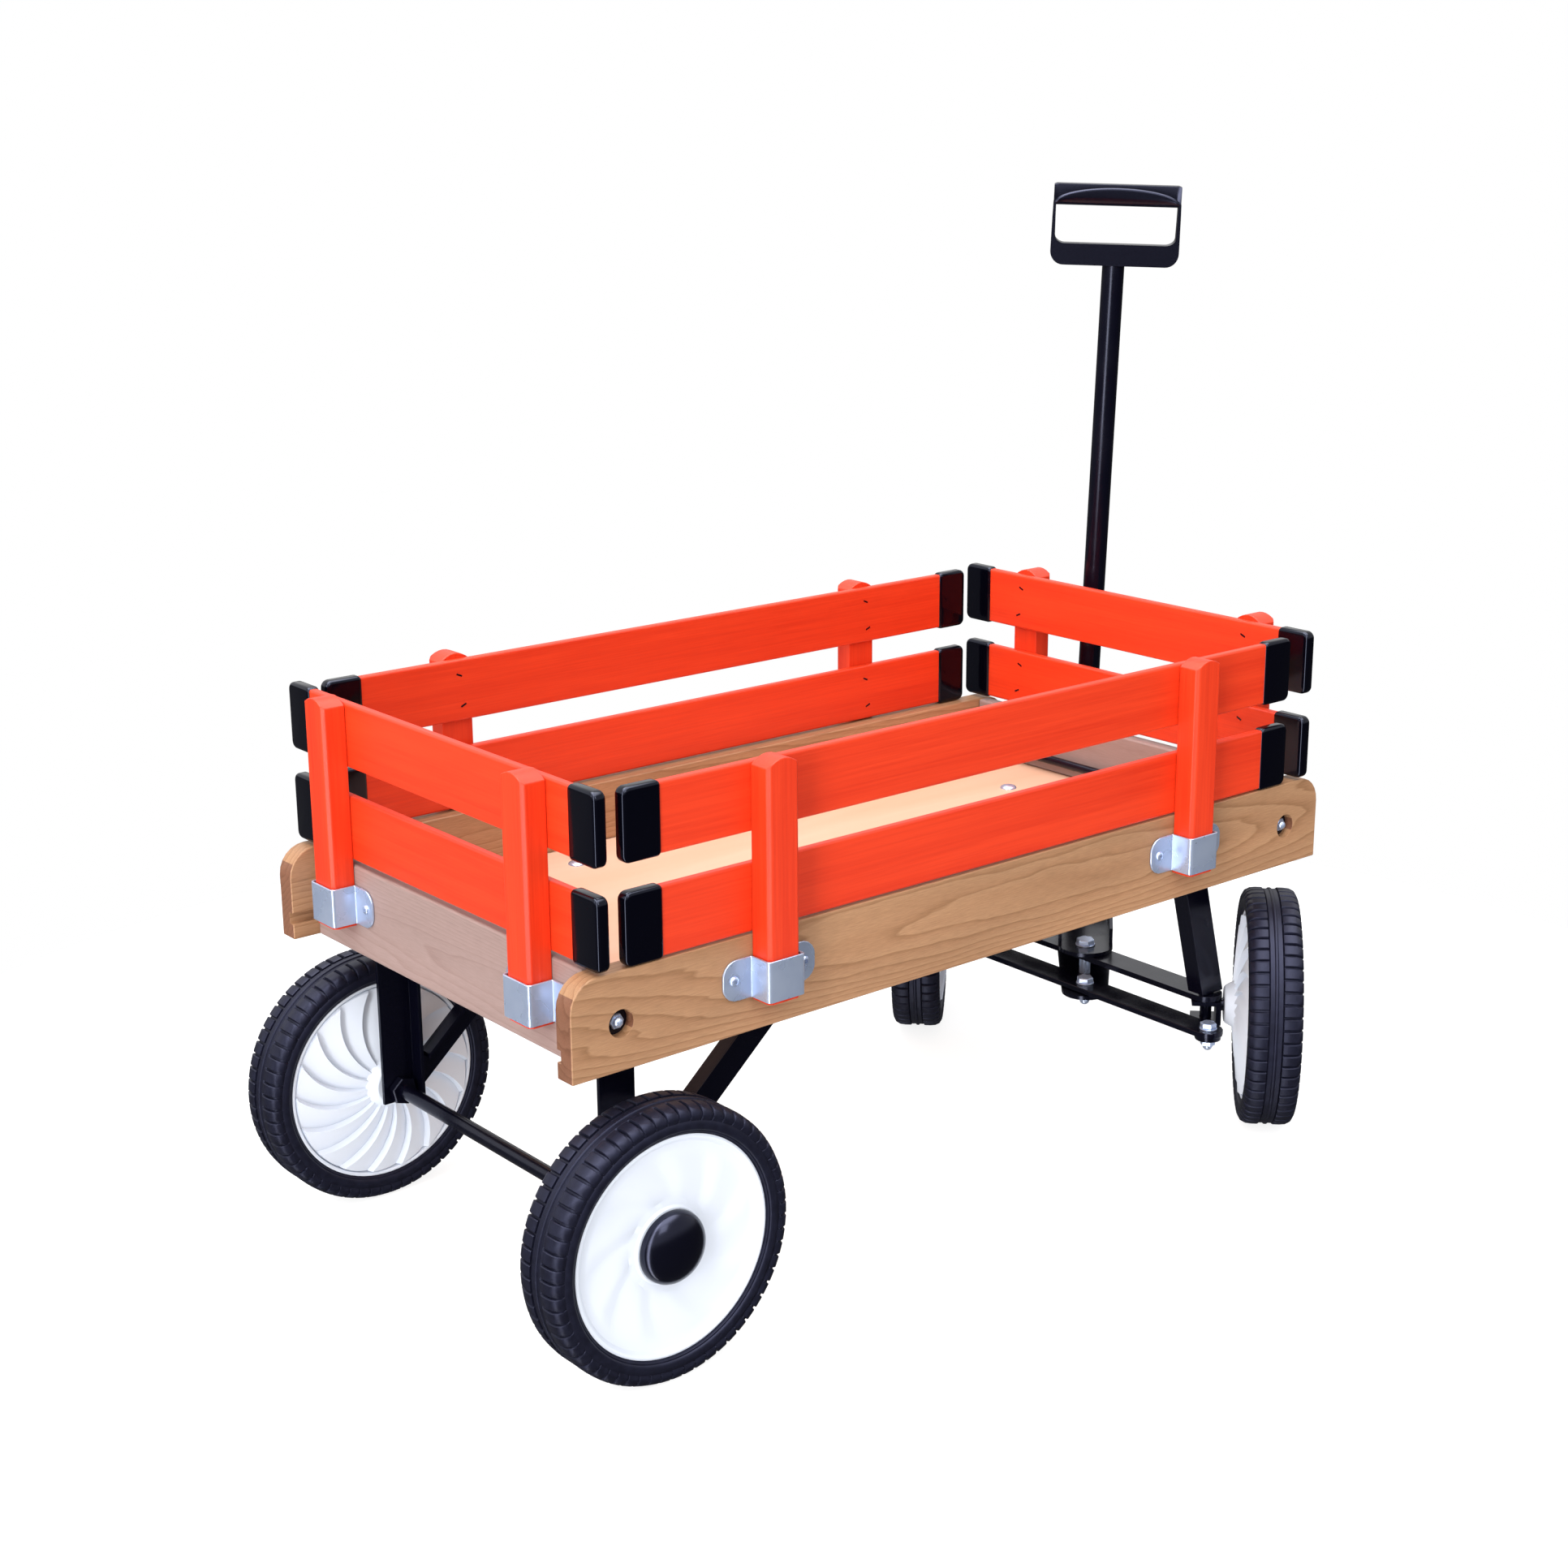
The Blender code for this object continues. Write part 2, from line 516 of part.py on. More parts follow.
# Tie rod, square to the wagon at every turn of the steering
link_x = AXLE_X - ARM_LEN * cos(STEER_REST)
link_y = -ARM_LEN * sin(STEER_REST)
link_pivot = pivot("tie_rod_axis", link_x, link_y)
link_low = ARM_Z + ARM_T + GAP
half, reach = LINK_W / 2, KINGPIN_Y
outline = arc((reach, 0), half, -90, 90, 8) + arc((-reach, 0), half, 90, 270, 8)
link = place(
    "tie_rod",
    plate_mesh([outline], LINK_T, Matrix.Translation((0, 0, link_low + LINK_T / 2)) @ Matrix.Rotation(pi / 2, 4, "Z")),
    BLACK_STEEL, link_pivot)
cut(link, rod_mesh((0, 0, link_low - 0.01), (0, 0, link_low + 0.02), 0.004 + GAP, 20))

# Steering yoke: a channel over the beam, a plate under it, and cheeks that hold the handle
steer = pivot("steering_axis", AXLE_X, 0, STEER_REST)
plate_z = beam_top + GAP
yoke_t = 0.0035
upper = arc((0, 0), YOKE_HALF, 90, 270, 10) + [(0.100, -YOKE_HALF), (0.100, YOKE_HALF)]
yoke = place(
    "steering_yoke", plate_mesh([upper], yoke_t, Matrix.Translation((0, 0, plate_z + yoke_t / 2))), BLACK_STEEL, steer)
lower_end = arc((-ARM_LEN, 0), 0.0205, 90, 270, 10)
lower = [(0.060, YOKE_HALF - 0.0001), *lower_end, (0.060, -YOKE_HALF + 0.0001)]
join(yoke, plate_mesh([lower], ARM_T, Matrix.Translation((0, 0, ARM_Z + ARM_T / 2))))
join(yoke, block_mesh((0.0565, -YOKE_HALF + 0.0002, ARM_Z + 0.0002), (0.0598, YOKE_HALF - 0.0002, plate_z + 0.001)))
cheek_low, cheek_top = plate_z + 0.0002, HANDLE_Z + 0.014
cheek = [(0.004, cheek_low), (0.112, cheek_low)] + arc((HANDLE_FORWARD, HANDLE_Z), 0.0145, -70, 90, 10) + [
    (0.070, cheek_top + 0.0005), (0.004, plate_z + 0.018)]
for side in (-1, 1):
    middle = side * (YOKE_HALF - 0.00165)
    join(yoke, plate_mesh([cheek], 0.0030, Matrix.Translation((0, middle, 0)) @ UPRIGHT))
cut(yoke, rod_mesh((0, 0, ARM_Z - 0.01), (0, 0, plate_z + 0.02), 0.005 + GAP, 20))
cut(yoke, rod_mesh((-ARM_LEN, 0, ARM_Z - 0.01), (-ARM_LEN, 0, ARM_Z + 0.01), 0.004 + GAP, 20))
cut(yoke, rod_mesh((HANDLE_FORWARD, -0.04, HANDLE_Z), (HANDLE_FORWARD, 0.04, HANDLE_Z), 0.004 + GAP, 20))


def bolt_profile(shank_r, head_r, head_low, head_high, nut_low, nut_high):
    """A bolt standing on its nut: a domed nut below and a flat head above, as (radius, height) points."""
    return [
        (0.0, head_high), (head_r * 0.8, head_high), (head_r, head_high - 0.001), (head_r, head_low),
        (shank_r, head_low), (shank_r, nut_high), (head_r, nut_high), (head_r, nut_low + 0.004),
        (head_r * 0.8, nut_low + 0.001), (0.0, nut_low),
    ]


head_seat = plate_z + yoke_t + GAP
under_nut = ARM_Z - GAP
turned("steering_bolt", bolt_profile(0.005, 0.0082, head_seat, head_seat + 0.0055, under_nut - 0.010, under_nut),
       ZINC, steer, Matrix(), 20)
link_top = link_low + LINK_T + GAP
turned("tie_rod_bolt", bolt_profile(0.004, 0.0072, link_top, link_top + 0.0055, under_nut - 0.011, under_nut),
       ZINC, steer, Matrix.Translation((-ARM_LEN, 0, 0)), 20)

# Handle: a steel pole on a cross tube, pinned between the yoke's cheeks, and a moulded grip
handle = bpy.data.objects.new("handle_axis", None)
handle.parent = steer
handle.location = (HANDLE_FORWARD, 0, HANDLE_Z)
wagon.objects.link(handle)
upward = Matrix.Translation((0, POLE_SIDE, 0)) @ Matrix.Rotation(POLE_LEAN, 4, "X")
pole_top = GRIP_LOW + 0.012
tube_half = YOKE_HALF - 0.0032 - 0.0010
pole = place("handle_pole", rod_mesh((0, -tube_half, 0), (0, tube_half, 0), 0.0110, 20), BLACK_STEEL, handle)
join(pole, rod_mesh((0, 0, 0.0045), (0, 0, pole_top), POLE_R, 20), upward)
cut(pole, rod_mesh((0, 0, 0.0140), (0, 0, pole_top + 0.01), POLE_R - POLE_WALL, 20), matrix=upward)
cut(pole, rod_mesh((0, -0.04, 0), (0, 0.04, 0), 0.004 + GAP, 20))
across = Matrix.Rotation(-pi / 2, 4, "X")
bolt_seat = YOKE_HALF + GAP
turned("handle_bolt",
       bolt_profile(0.004, 0.0070, bolt_seat, bolt_seat + 0.005, -bolt_seat - 0.009, -bolt_seat),
       ZINC, steer, Matrix.Translation((HANDLE_FORWARD, 0, HANDLE_Z)) @ across, 20)

# The grip's upper bar is straight; its thin sides widen a little down to the rounded lower band
w, low, high = GRIP_HALF_W, GRIP_LOW, GRIP_HIGH
loop = (
    arc((w - 0.0115, low + 0.0120), 0.0120, -90, 0, 5) + [(w - 0.0008, high - 0.003), (w - 0.0038, high)]
    + [(-w + 0.0038, high), (-w + 0.0008, high - 0.003)] + arc((-w + 0.0115, low + 0.0120), 0.0120, 180, 270, 5)
)
bar, band, strap_w = high - 0.0185, low + 0.0186, w - 0.0036
hole = [(-strap_w, band + 0.0055), (-strap_w, bar), (strap_w, bar), (strap_w, band + 0.0055),
        (strap_w - 0.0030, band + 0.0016), (strap_w - 0.0080, band), (-strap_w + 0.0080, band),
        (-strap_w + 0.0030, band + 0.0016)]
grip = place("handle_grip", plate_mesh([loop, hole], 2 * GRIP_HALF_T, upward @ ACROSS), BLACK_PLASTIC, handle)
soften = grip.modifiers.new("soft_edges", "BEVEL")
soften.width = 0.0014
soften.segments = 2
soften.limit_method = "ANGLE"
soften.angle_limit = radians(50)
cut(grip, rod_mesh((0, 0, low - 0.01), (0, 0, low + 0.0125), POLE_R + GAP, 20), matrix=upward)

# The origin goes under the middle of the overall length
for part in list(wagon.objects) + list(cutters.objects):
    if part.parent is None:
        part.location.x -= CENTRE_X
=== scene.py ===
"""Small wooden stake wagon with lift-out racks, a steered front axle and a pull handle."""

import json
from math import cos, pi, radians, sin, sqrt

import bmesh
import bpy
from mathutils import Matrix, Vector


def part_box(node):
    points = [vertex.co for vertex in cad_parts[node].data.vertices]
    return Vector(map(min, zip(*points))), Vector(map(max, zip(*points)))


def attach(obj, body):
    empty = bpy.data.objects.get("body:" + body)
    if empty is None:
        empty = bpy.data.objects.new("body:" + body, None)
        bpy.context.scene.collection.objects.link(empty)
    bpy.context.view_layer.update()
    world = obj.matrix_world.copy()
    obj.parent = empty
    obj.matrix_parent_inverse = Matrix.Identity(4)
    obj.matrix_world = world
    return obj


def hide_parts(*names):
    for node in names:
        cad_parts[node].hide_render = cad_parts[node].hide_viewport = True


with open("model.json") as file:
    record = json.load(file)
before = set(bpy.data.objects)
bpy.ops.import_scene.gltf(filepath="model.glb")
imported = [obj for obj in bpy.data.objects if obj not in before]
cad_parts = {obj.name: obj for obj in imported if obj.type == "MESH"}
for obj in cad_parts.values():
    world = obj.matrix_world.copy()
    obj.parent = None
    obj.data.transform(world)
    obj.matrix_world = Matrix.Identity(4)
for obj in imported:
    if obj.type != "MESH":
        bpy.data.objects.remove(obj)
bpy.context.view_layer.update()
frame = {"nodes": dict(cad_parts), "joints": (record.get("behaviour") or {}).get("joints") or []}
scene = bpy.context.scene


# ---- Studio -------------------------------------------------------------------------------------
# A light table in a white room, three soft boxes, and a camera off the wagon's right rear corner.
# None of it belongs to the wagon.

def linear(hex_colour):
    """An sRGB hex colour as the linear values that shaders take."""
    channels = [int(hex_colour[i:i + 2], 16) / 255 for i in (1, 3, 5)]
    return tuple(c / 12.92 if c <= 0.04045 else ((c + 0.055) / 1.055) ** 2.4 for c in channels) + (1.0,)


def add(tree, kind, settings=None, links=None):
    """Add one node, with its properties and input values, and the sockets that feed it."""
    node = tree.nodes.new(kind)
    for key, value in (settings or {}).items():
        if isinstance(key, str) and hasattr(node, key):
            setattr(node, key, value)
        else:
            node.inputs[key].default_value = value
    for key, source in (links or {}).items():
        tree.links.new(source, node.inputs[key])
    return node


def maths(tree, operation, *operands):
    """One math node, whose operands are numbers or sockets."""
    node = add(tree, "ShaderNodeMath", {"operation": operation})
    for k, operand in enumerate(operands):
        if isinstance(operand, (int, float)):
            node.inputs[k].default_value = operand
        else:
            tree.links.new(operand, node.inputs[k])
    return node.outputs[0]


def ranged(tree, value, start, stop, low, high, **more):
    """A value carried over from one range to another, and held at its ends."""
    settings = {"From Min": start, "From Max": stop, "To Min": low, "To Max": high, **more}
    return add(tree, "ShaderNodeMapRange", settings, {"Value": value}).outputs[0]


def place_of(tree):
    """Coordinates in metres that stay on the piece as it moves."""
    return add(tree, "ShaderNodeTexCoord").outputs["Object"]


def stretch(tree, place, scale):
    return add(tree, "ShaderNodeMapping", {"Scale": scale}, {"Vector": place}).outputs["Vector"]


def noise(tree, place, scale, detail, **more):
    """The grey level of a noise texture."""
    settings = {"Scale": scale, "Detail": detail, **more}
    return add(tree, "ShaderNodeTexNoise", settings, {"Vector": place}).outputs["Fac"]


def tint(tree, shader, level, *stops):
    """Colour a material by a grey level, between two (position, hex colour) stops."""
    ramp = add(tree, "ShaderNodeValToRGB", {}, {"Fac": level})
    for element, (position, hex_colour) in zip(ramp.color_ramp.elements, stops):
        element.position, element.color = position, linear(hex_colour)
    tree.links.new(ramp.outputs["Color"], shader.inputs["Base Color"])


def emboss(tree, shader, level, strength, distance):
    """Raise a material's surface by a grey level."""
    bump = add(tree, "ShaderNodeBump", {"Strength": strength, "Distance": distance}, {"Height": level})
    tree.links.new(bump.outputs[0], shader.inputs["Normal"])


def finish(name, hex_colour, **values):
    """A new material of one shader, whose even values are set on the shader itself."""
    made = bpy.data.materials.new(name)
    made.use_nodes = True
    shader = made.node_tree.nodes["Principled BSDF"]
    shader.inputs["Base Color"].default_value = linear(hex_colour)
    for key, value in values.items():
        shader.inputs[key.replace("_", " ")].default_value = value
    return made, made.node_tree, shader


lens = bpy.data.cameras.new("camera")
lens.sensor_width = 36.0
lens.lens = 55.73
camera = bpy.data.objects.new("camera", lens)
camera.matrix_world = (
    Matrix.Translation((-1.23109, -1.4240, 0.8658))
    @ Matrix.Rotation(radians(50.56 - 90), 4, "Z") @ Matrix.Rotation(radians(90 - 16.11), 4, "X")
    @ Matrix.Rotation(radians(-0.40), 4, "Z"))
scene.collection.objects.link(camera)
scene.camera = camera

table_paint, _, _ = finish("white_light_table", "#A0A0A0", Roughness=0.9, Specular_IOR_Level=0.0,
                           Emission_Color=(1, 1, 1, 1), Emission_Strength=0.84)
ground = bmesh.new()
bmesh.ops.create_circle(ground, cap_ends=True, segments=96, radius=0.95)
ground_mesh = bpy.data.meshes.new("studio_floor")
ground.to_mesh(ground_mesh)
ground.free()
ground_mesh.materials.append(table_paint)
ground_plane = bpy.data.objects.new("studio_floor", ground_mesh)
ground_plane.visible_glossy = False
scene.collection.objects.link(ground_plane)

# The room is white to the lens. For its light it is bright above and towards the wagon's rear left,
# dim low down, with one narrow window that draws a line on every round edge. In reflections the low
# part is dark, as black cards would make it.
scene.world = bpy.data.worlds.new("studio")
scene.world.use_nodes = True
room = scene.world.node_tree
sky = room.nodes["Background"].inputs
look = add(room, "ShaderNodeTexCoord").outputs["Generated"]
height = add(room, "ShaderNodeSeparateXYZ", {}, {0: look}).outputs["Z"]
level = add(room, "ShaderNodeVectorMath", {"operation": "MULTIPLY", 1: (1, 1, 0)}, {0: look})
bearing = add(room, "ShaderNodeVectorMath", {"operation": "NORMALIZE"}, {0: level.outputs[0]}).outputs[0]


def along_level(x, y):
    """How nearly a ray runs in one level direction: 1 along it, and -1 against it."""
    return add(room, "ShaderNodeVectorMath", {"operation": "DOT_PRODUCT", 1: (x, y, 0)},
               {0: bearing}).outputs["Value"]


rearward = along_level(-0.80, 0.60)
low_glow = ranged(room, rearward, -1.0, 1.0, 0.22, 0.74)
high_glow = ranged(room, rearward, -1.0, 1.0, 0.80, 1.22)
rise = ranged(room, height, -0.02, 0.22, 0.0, 1.0, interpolation_type="SMOOTHSTEP")
rays = add(room, "ShaderNodeLightPath").outputs
card = maths(room, "MULTIPLY_ADD", rays["Is Glossy Ray"], -0.80, 1.0)
low_seen = maths(room, "MULTIPLY", low_glow, card)
glow = add(room, "ShaderNodeMix", {"data_type": "FLOAT"}, {0: rise, 2: low_seen, 3: high_glow}).outputs[0]
facing = along_level(-0.90, -0.436)
window = ranged(room, facing, 0.988, 0.996, 0.0, 9.0, interpolation_type="SMOOTHSTEP")
zenith = ranged(room, height, 0.70, 0.92, 0.0, 7.0, interpolation_type="SMOOTHSTEP")
ceiling = maths(room, "MULTIPLY_ADD", zenith, rays["Is Glossy Ray"], glow)
lit = maths(room, "ADD", ceiling, window)
seen = add(room, "ShaderNodeMix", {"data_type": "FLOAT", 3: 1.0}, {0: rays["Is Camera Ray"], 2: lit})
room.links.new(seen.outputs[0], sky["Strength"])
sky["Color"].default_value = (1.0, 1.0, 1.0, 1.0)
lamp_aim = Vector((0.0, 0.0, 0.3))
for name, place, wide, tall, watts in (("overhead_box", (-0.5, 0.3, 2.4), 1.0, 0.8, 12),
                                       ("rear_box", (-2.4, 0.4, 1.6), 0.7, 1.2, 6),
                                       ("near_box", (-0.8, -2.2, 2.0), 1.2, 1.0, 20)):
    lamp = bpy.data.lights.new(name, "AREA")
    lamp.shape = "RECTANGLE"
    lamp.size, lamp.size_y, lamp.energy = wide, tall, watts
    box = bpy.data.objects.new(name, lamp)
    turn = (lamp_aim - Vector(place)).to_track_quat("-Z", "Y")
    box.matrix_world = Matrix.Translation(place) @ turn.to_matrix().to_4x4()
    scene.collection.objects.link(box)
scene.view_settings.view_transform = "Standard"


# ---- Bed boards ---------------------------------------------------------------------------------
# Two thick side boards and two thinner end boards of clear-finished hardwood, planed, with their
# edges eased by hand. The grain runs along each board.

def hardwood(name, light, middle, dark, along, contrast):
    """Flat-sawn hardwood under satin varnish: fine pores, and rings that open into long arches."""
    made, tree, shader = finish(name, middle, Roughness=0.45, IOR=1.5, Specular_IOR_Level=0.35)
    place = place_of(tree)
    grain_axis = "XY".index(along)

    def stretched(length, width):
        scale = [1 / width] * 3
        scale[grain_axis] = 1 / length
        return stretch(tree, place, scale)

    # Rings: a few millimetres apart across the board, and some 600 mm long
    field = noise(tree, stretched(1.10, 0.085), 1.0, 0.0)
    waver = noise(tree, stretched(0.09, 0.012), 1.0, 2.0)
    lift = maths(tree, "MULTIPLY_ADD", waver, 0.040, field)
    saw = maths(tree, "FRACT", maths(tree, "MULTIPLY", lift, 34.0))
    ring = add(tree, "ShaderNodeValToRGB", {}, {"Fac": saw})
    ring.color_ramp.elements[0].color = linear(light)
    ring.color_ramp.elements[1].position = 0.93
    ring.color_ramp.elements[1].color = linear(dark)
    ring.color_ramp.elements.new(0.70).color = linear(middle)
    ring.color_ramp.elements.new(1.0).color = linear(light)
    # Pores: 0.8 mm wide and 12 mm long
    pores = noise(tree, stretched(0.012, 0.0008), 1.0, 3.0, Roughness=0.65)
    tone = ranged(tree, pores, 0.3, 0.7, 1 - 0.17 * contrast, 1 + 0.15 * contrast)
    cloud = noise(tree, stretched(0.25, 0.04), 1.0, 2.0)
    shade = ranged(tree, cloud, 0.3, 0.7, 1 - 0.12 * contrast, 1 + 0.08 * contrast)
    # Sawn ends drink the varnish and turn red-brown
    normal = add(tree, "ShaderNodeNewGeometry").outputs["True Normal"]
    endwise = add(tree, "ShaderNodeSeparateXYZ", {}, {0: normal}).outputs[grain_axis]
    sawn = maths(tree, "GREATER_THAN", maths(tree, "ABSOLUTE", endwise), 0.8)
    both = maths(tree, "MULTIPLY", tone, shade)
    wood = add(tree, "ShaderNodeVectorMath", {"operation": "SCALE"},
               {0: ring.outputs["Color"], "Scale": both}).outputs[0]
    ends = add(tree, "ShaderNodeVectorMath", {"operation": "MULTIPLY", 1: (0.52, 0.42, 0.46)},
               {0: wood}).outputs[0]
    colour = add(tree, "ShaderNodeMix", {"data_type": "VECTOR"}, {0: sawn, 4: wood, 5: ends})
    tree.links.new(colour.outputs[1], shader.inputs["Base Color"])
    emboss(tree, shader, pores, 0.10, 0.0004)
    return made


def smooth(mesh, angle=35):
    mesh.shade_smooth()
    mesh.set_sharp_from_angle(angle=radians(angle))


def show(name, mesh, material, body, slot, *nodes):
    """Put a finished piece in the scene on its body; it may stand for one or more frame nodes."""
    mesh.materials.clear()
    mesh.materials.append(material)
    made = bpy.data.objects.new(name, mesh)
    scene.collection.objects.link(made)
    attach(made, body)
    if nodes:
        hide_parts(*nodes)
    return made


def eased(node, material, body, slot, width):
    """The node's own solid with its faces made whole and every edge rounded over."""
    bm = bmesh.new()
    bm.from_mesh(frame["nodes"][node].data)
    bmesh.ops.remove_doubles(bm, verts=bm.verts, dist=0.00002)
    bmesh.ops.dissolve_limit(bm, angle_limit=radians(1.0), verts=bm.verts, edges=bm.edges)
    mesh = bpy.data.meshes.new(node + "_eased")
    bm.to_mesh(mesh)
    bm.free()
    smooth(mesh)
    made = show(node + "_finished", mesh, material, body, slot, node)
    round_over = made.modifiers.new("round_over", "BEVEL")
    round_over.width = width
    round_over.segments = 2
    round_over.limit_method = "ANGLE"
    round_over.angle_limit = radians(28)
    made.modifiers.new("flat_faces", "WEIGHTED_NORMAL").keep_sharp = True
    return made


side_wood = hardwood("varnished_hardwood_lengthwise", "#AA815F", "#A27857", "#926A4A", "X", 0.9)
# The end boards are the same hardwood, but coloured paler, greyer and pinker, with weaker figure. That colour
# is a painted sheen.
sheen_painted_end_wood = hardwood("varnished_hardwood_crosswise_painted_sheen", "#98807A", "#947C76", "#8E756F", "Y", 0.5)
for side in ("right", "left"):
    eased("side_board_" + side, side_wood, "bed", "hardwood", 0.0008)
for end in ("rear", "front"):
    eased("end_board_" + end, sheen_painted_end_wood, "bed", "hardwood", 0.0006)


# ---- Floor panel --------------------------------------------------------------------------------
# One sheet of thin pale birch plywood, rotary cut, so its grain is faint and wide. It lies in the
# boards' grooves.

floor_ply, tree, shader = finish("birch_plywood", "#F2C9A8", Roughness=0.5, IOR=1.5, Specular_IOR_Level=0.3)
figure = noise(tree, stretch(tree, place_of(tree), (3.0, 22.0, 22.0)), 1.0, 4.0, Distortion=0.6)
tint(tree, shader, figure, (0.30, "#E6B596"), (0.68, "#EDC3A8"))
frame["nodes"]["floor_panel"].data.materials[0] = floor_ply


# ---- Cross rods ---------------------------------------------------------------------------------
# Two blackened steel rods clamp the side boards. A zinc-plated hexagon dome nut on a washer is sunk
# in a drilled hole at each end.

def plated(name, light, dark, roughness):
    """Bright zinc plate over mild steel: blue-white, with the faint cloud of its passivation."""
    made, tree, shader = finish(name, light, Metallic=0.66, Roughness=roughness)
    place = place_of(tree)
    cloud = noise(tree, place, 45.0, 2.0)
    tint(tree, shader, cloud, (0.35, dark), (0.65, light))
    dull = ranged(tree, cloud, 0.3, 0.7, roughness - 0.03, roughness + 0.05)
    tree.links.new(dull, shader.inputs["Roughness"])
    emboss(tree, shader, noise(tree, place, 900.0, 2.0), 0.04, 0.0002)
    return made


zinc = plated("zinc_plated_steel", "#BECBE4", "#B4C2DE", 0.27)


def lathe(bm, profile, steps, matrix=Matrix()):
    """Turn a closed shape from (radius, height) points, listed from the top down the outside."""
    rings = []
    for radius, height in profile:
        if radius < 1e-6:
            rings.append([bm.verts.new(matrix @ Vector((0, 0, height)))])
        else:
            rings.append([bm.verts.new(matrix @ Vector((radius * cos(turn), radius * sin(turn), height)))
                          for turn in (2 * pi * i / steps for i in range(steps))])
    pairs = list(zip(rings, rings[1:]))
    if len(rings[0]) > 1:
        pairs.append((rings[-1], rings[0]))
    for above, below in pairs:
        for i in range(steps):
            j = (i + 1) % steps
            corners = [above[i % len(above)], below[i % len(below)],
                       below[j % len(below)], above[j % len(above)]]
            unique = [v for k, v in enumerate(corners) if v not in corners[:k]]
            if len(unique) > 2:
                bm.faces.new(unique)


def hexagon(bm, across, low, high, chamfer, matrix=Matrix()):
    """A hexagon bar cut off between two heights, with its corners turned off above and below."""
    corner = across / sqrt(3)
    rows = []
    for z, reach in ((low, corner - chamfer), (low + chamfer, corner),
                     (high - chamfer, corner), (high, corner - chamfer)):
        rows.append([bm.verts.new(matrix @ Vector((reach * cos(pi / 3 * i), reach * sin(pi / 3 * i), z)))
                     for i in range(6)])
    for lower, upper in zip(rows, rows[1:]):
        for i in range(6):
            bm.faces.new((lower[i], lower[(i + 1) % 6], upper[(i + 1) % 6], upper[i]))
    bm.faces.new(rows[0][::-1])
    bm.faces.new(rows[-1])


def washer(bm, radius, thickness, matrix):
    lathe(bm, [(0, thickness), (radius - 0.0003, thickness), (radius, thickness - 0.0003),
               (radius, 0.0), (0, 0.0)], 32, matrix)


def dome_nut(bm, across, height, matrix):
    """A hexagon dome nut that stands on z = 0."""
    shoulder = height * 0.52
    hexagon(bm, across, 0.0010, shoulder, 0.0005, matrix)
    cap = [(across * 0.40 * sin(radians(a)), shoulder + (height * 0.48) * cos(radians(a)))
           for a in range(0, 91, 15)]
    lathe(bm, cap + [(0, shoulder - 0.0005)], 24, matrix)


def made_of(bm, name):
    """A mesh of what has been built so far, which ends the building of it."""
    mesh = bpy.data.meshes.new(name)
    bm.to_mesh(mesh)
    bm.free()
    smooth(mesh)
    return mesh


def black_enamel(name, hex_colour, roughness):
    """Dipped black enamel: glossy, a little uneven, with a blue cast in its reflections."""
    made, tree, shader = finish(name, hex_colour, Roughness=roughness, IOR=1.52, Specular_IOR_Level=0.34,
                                Specular_Tint=(0.70, 0.74, 1.0, 1.0))
    place = place_of(tree)
    emboss(tree, shader, noise(tree, place, 420.0, 2.0), 0.10, 0.0003)
    dull = ranged(tree, noise(tree, place, 35.0, 3.0), 0.3, 0.7, roughness - 0.04, roughness + 0.08)
    tree.links.new(dull, shader.inputs["Roughness"])
    return made


chassis_black = black_enamel("black_dipped_enamel", "#050510", 0.20)
# The washers are real, but they are made black and wide enough to fill the hole bottoms, which paints the
# shade in the drilled holes.
washers = bmesh.new()
nut_tall, rod_inset = 0.0082, 0.0072
for end in ("rear", "front"):
    node = "cross_rod_" + end
    low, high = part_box(node)
    middle = (low + high) / 2
    bm = bmesh.new()
    for side in (-1, 1):
        seat = Matrix.Translation((middle.x, side * (high.y - nut_tall), middle.z))
        seat = seat @ Matrix.Rotation(-side * pi / 2, 4, "X")
        dome_nut(bm, 0.0098, nut_tall, seat)
        washer(washers, 0.0098, 0.0012, seat)
    show("dome_nuts_" + end, made_of(bm, "dome_nuts_" + end), zinc, "bed", "zinc")
    rod = bmesh.new()
    reach = high.y - rod_inset
    lathe(rod, [(0, reach), (0.004, reach), (0.004, -reach), (0, -reach)], 20,
          Matrix.Translation(middle) @ Matrix.Rotation(pi / 2, 4, "X"))
    show(node + "_finished", made_of(rod, node), chassis_black, "bed", "zinc", node)
show("rod_washers", made_of(washers, "rod_washers"), chassis_black, "bed", "black_steel")


# ---- Rack slats ---------------------------------------------------------------------------------
# Eight thin maple slats sprayed orange-red. The gloss enamel is thin enough that the grain still
# stands up in it, with a few open pores.

def enamelled_wood(name, along):
    """Orange-red enamel on wood: glossy, with long low grain ridges along one axis."""
    made, tree, shader = finish(name, "#D5320E", Roughness=0.40, IOR=1.5, Specular_IOR_Level=0.40)
    place = place_of(tree)
    scale = {"X": (14, 620, 620), "Y": (620, 14, 620), "Z": (620, 620, 14)}[along]
    grain = noise(tree, stretch(tree, place, scale), 1.0, 3.0, Roughness=0.55)
    bands = noise(tree, stretch(tree, place, [s / 8 for s in scale]), 1.0, 2.0)
    level = maths(tree, "MULTIPLY", maths(tree, "ADD", grain, bands), 0.5)
    tint(tree, shader, level, (0.30, "#C92A0A"), (0.62, "#DC3A16"))
    emboss(tree, shader, grain, 0.32, 0.0003)
    return made


enamel = {axis: enamelled_wood("orange_red_enamel_grain_" + axis.lower(), axis) for axis in "XYZ"}
racks = {"right": "X", "left": "X", "rear": "Y", "front": "Y"}
ends_of = {"X": ("rear", "front"), "Y": ("right", "left")}
for rack, along in racks.items():
    for level in ("lower", "upper"):
        eased(f"slat_{rack}_{level}", enamel[along], "rack_" + rack, "red_paint", 0.0005)


# ---- Slat end caps ------------------------------------------------------------------------------
# Sixteen black vinyl caps, dip moulded and pushed over the slat ends. They are soft and glossy,
# with round corners, and stand about a millimetre proud of the wood.

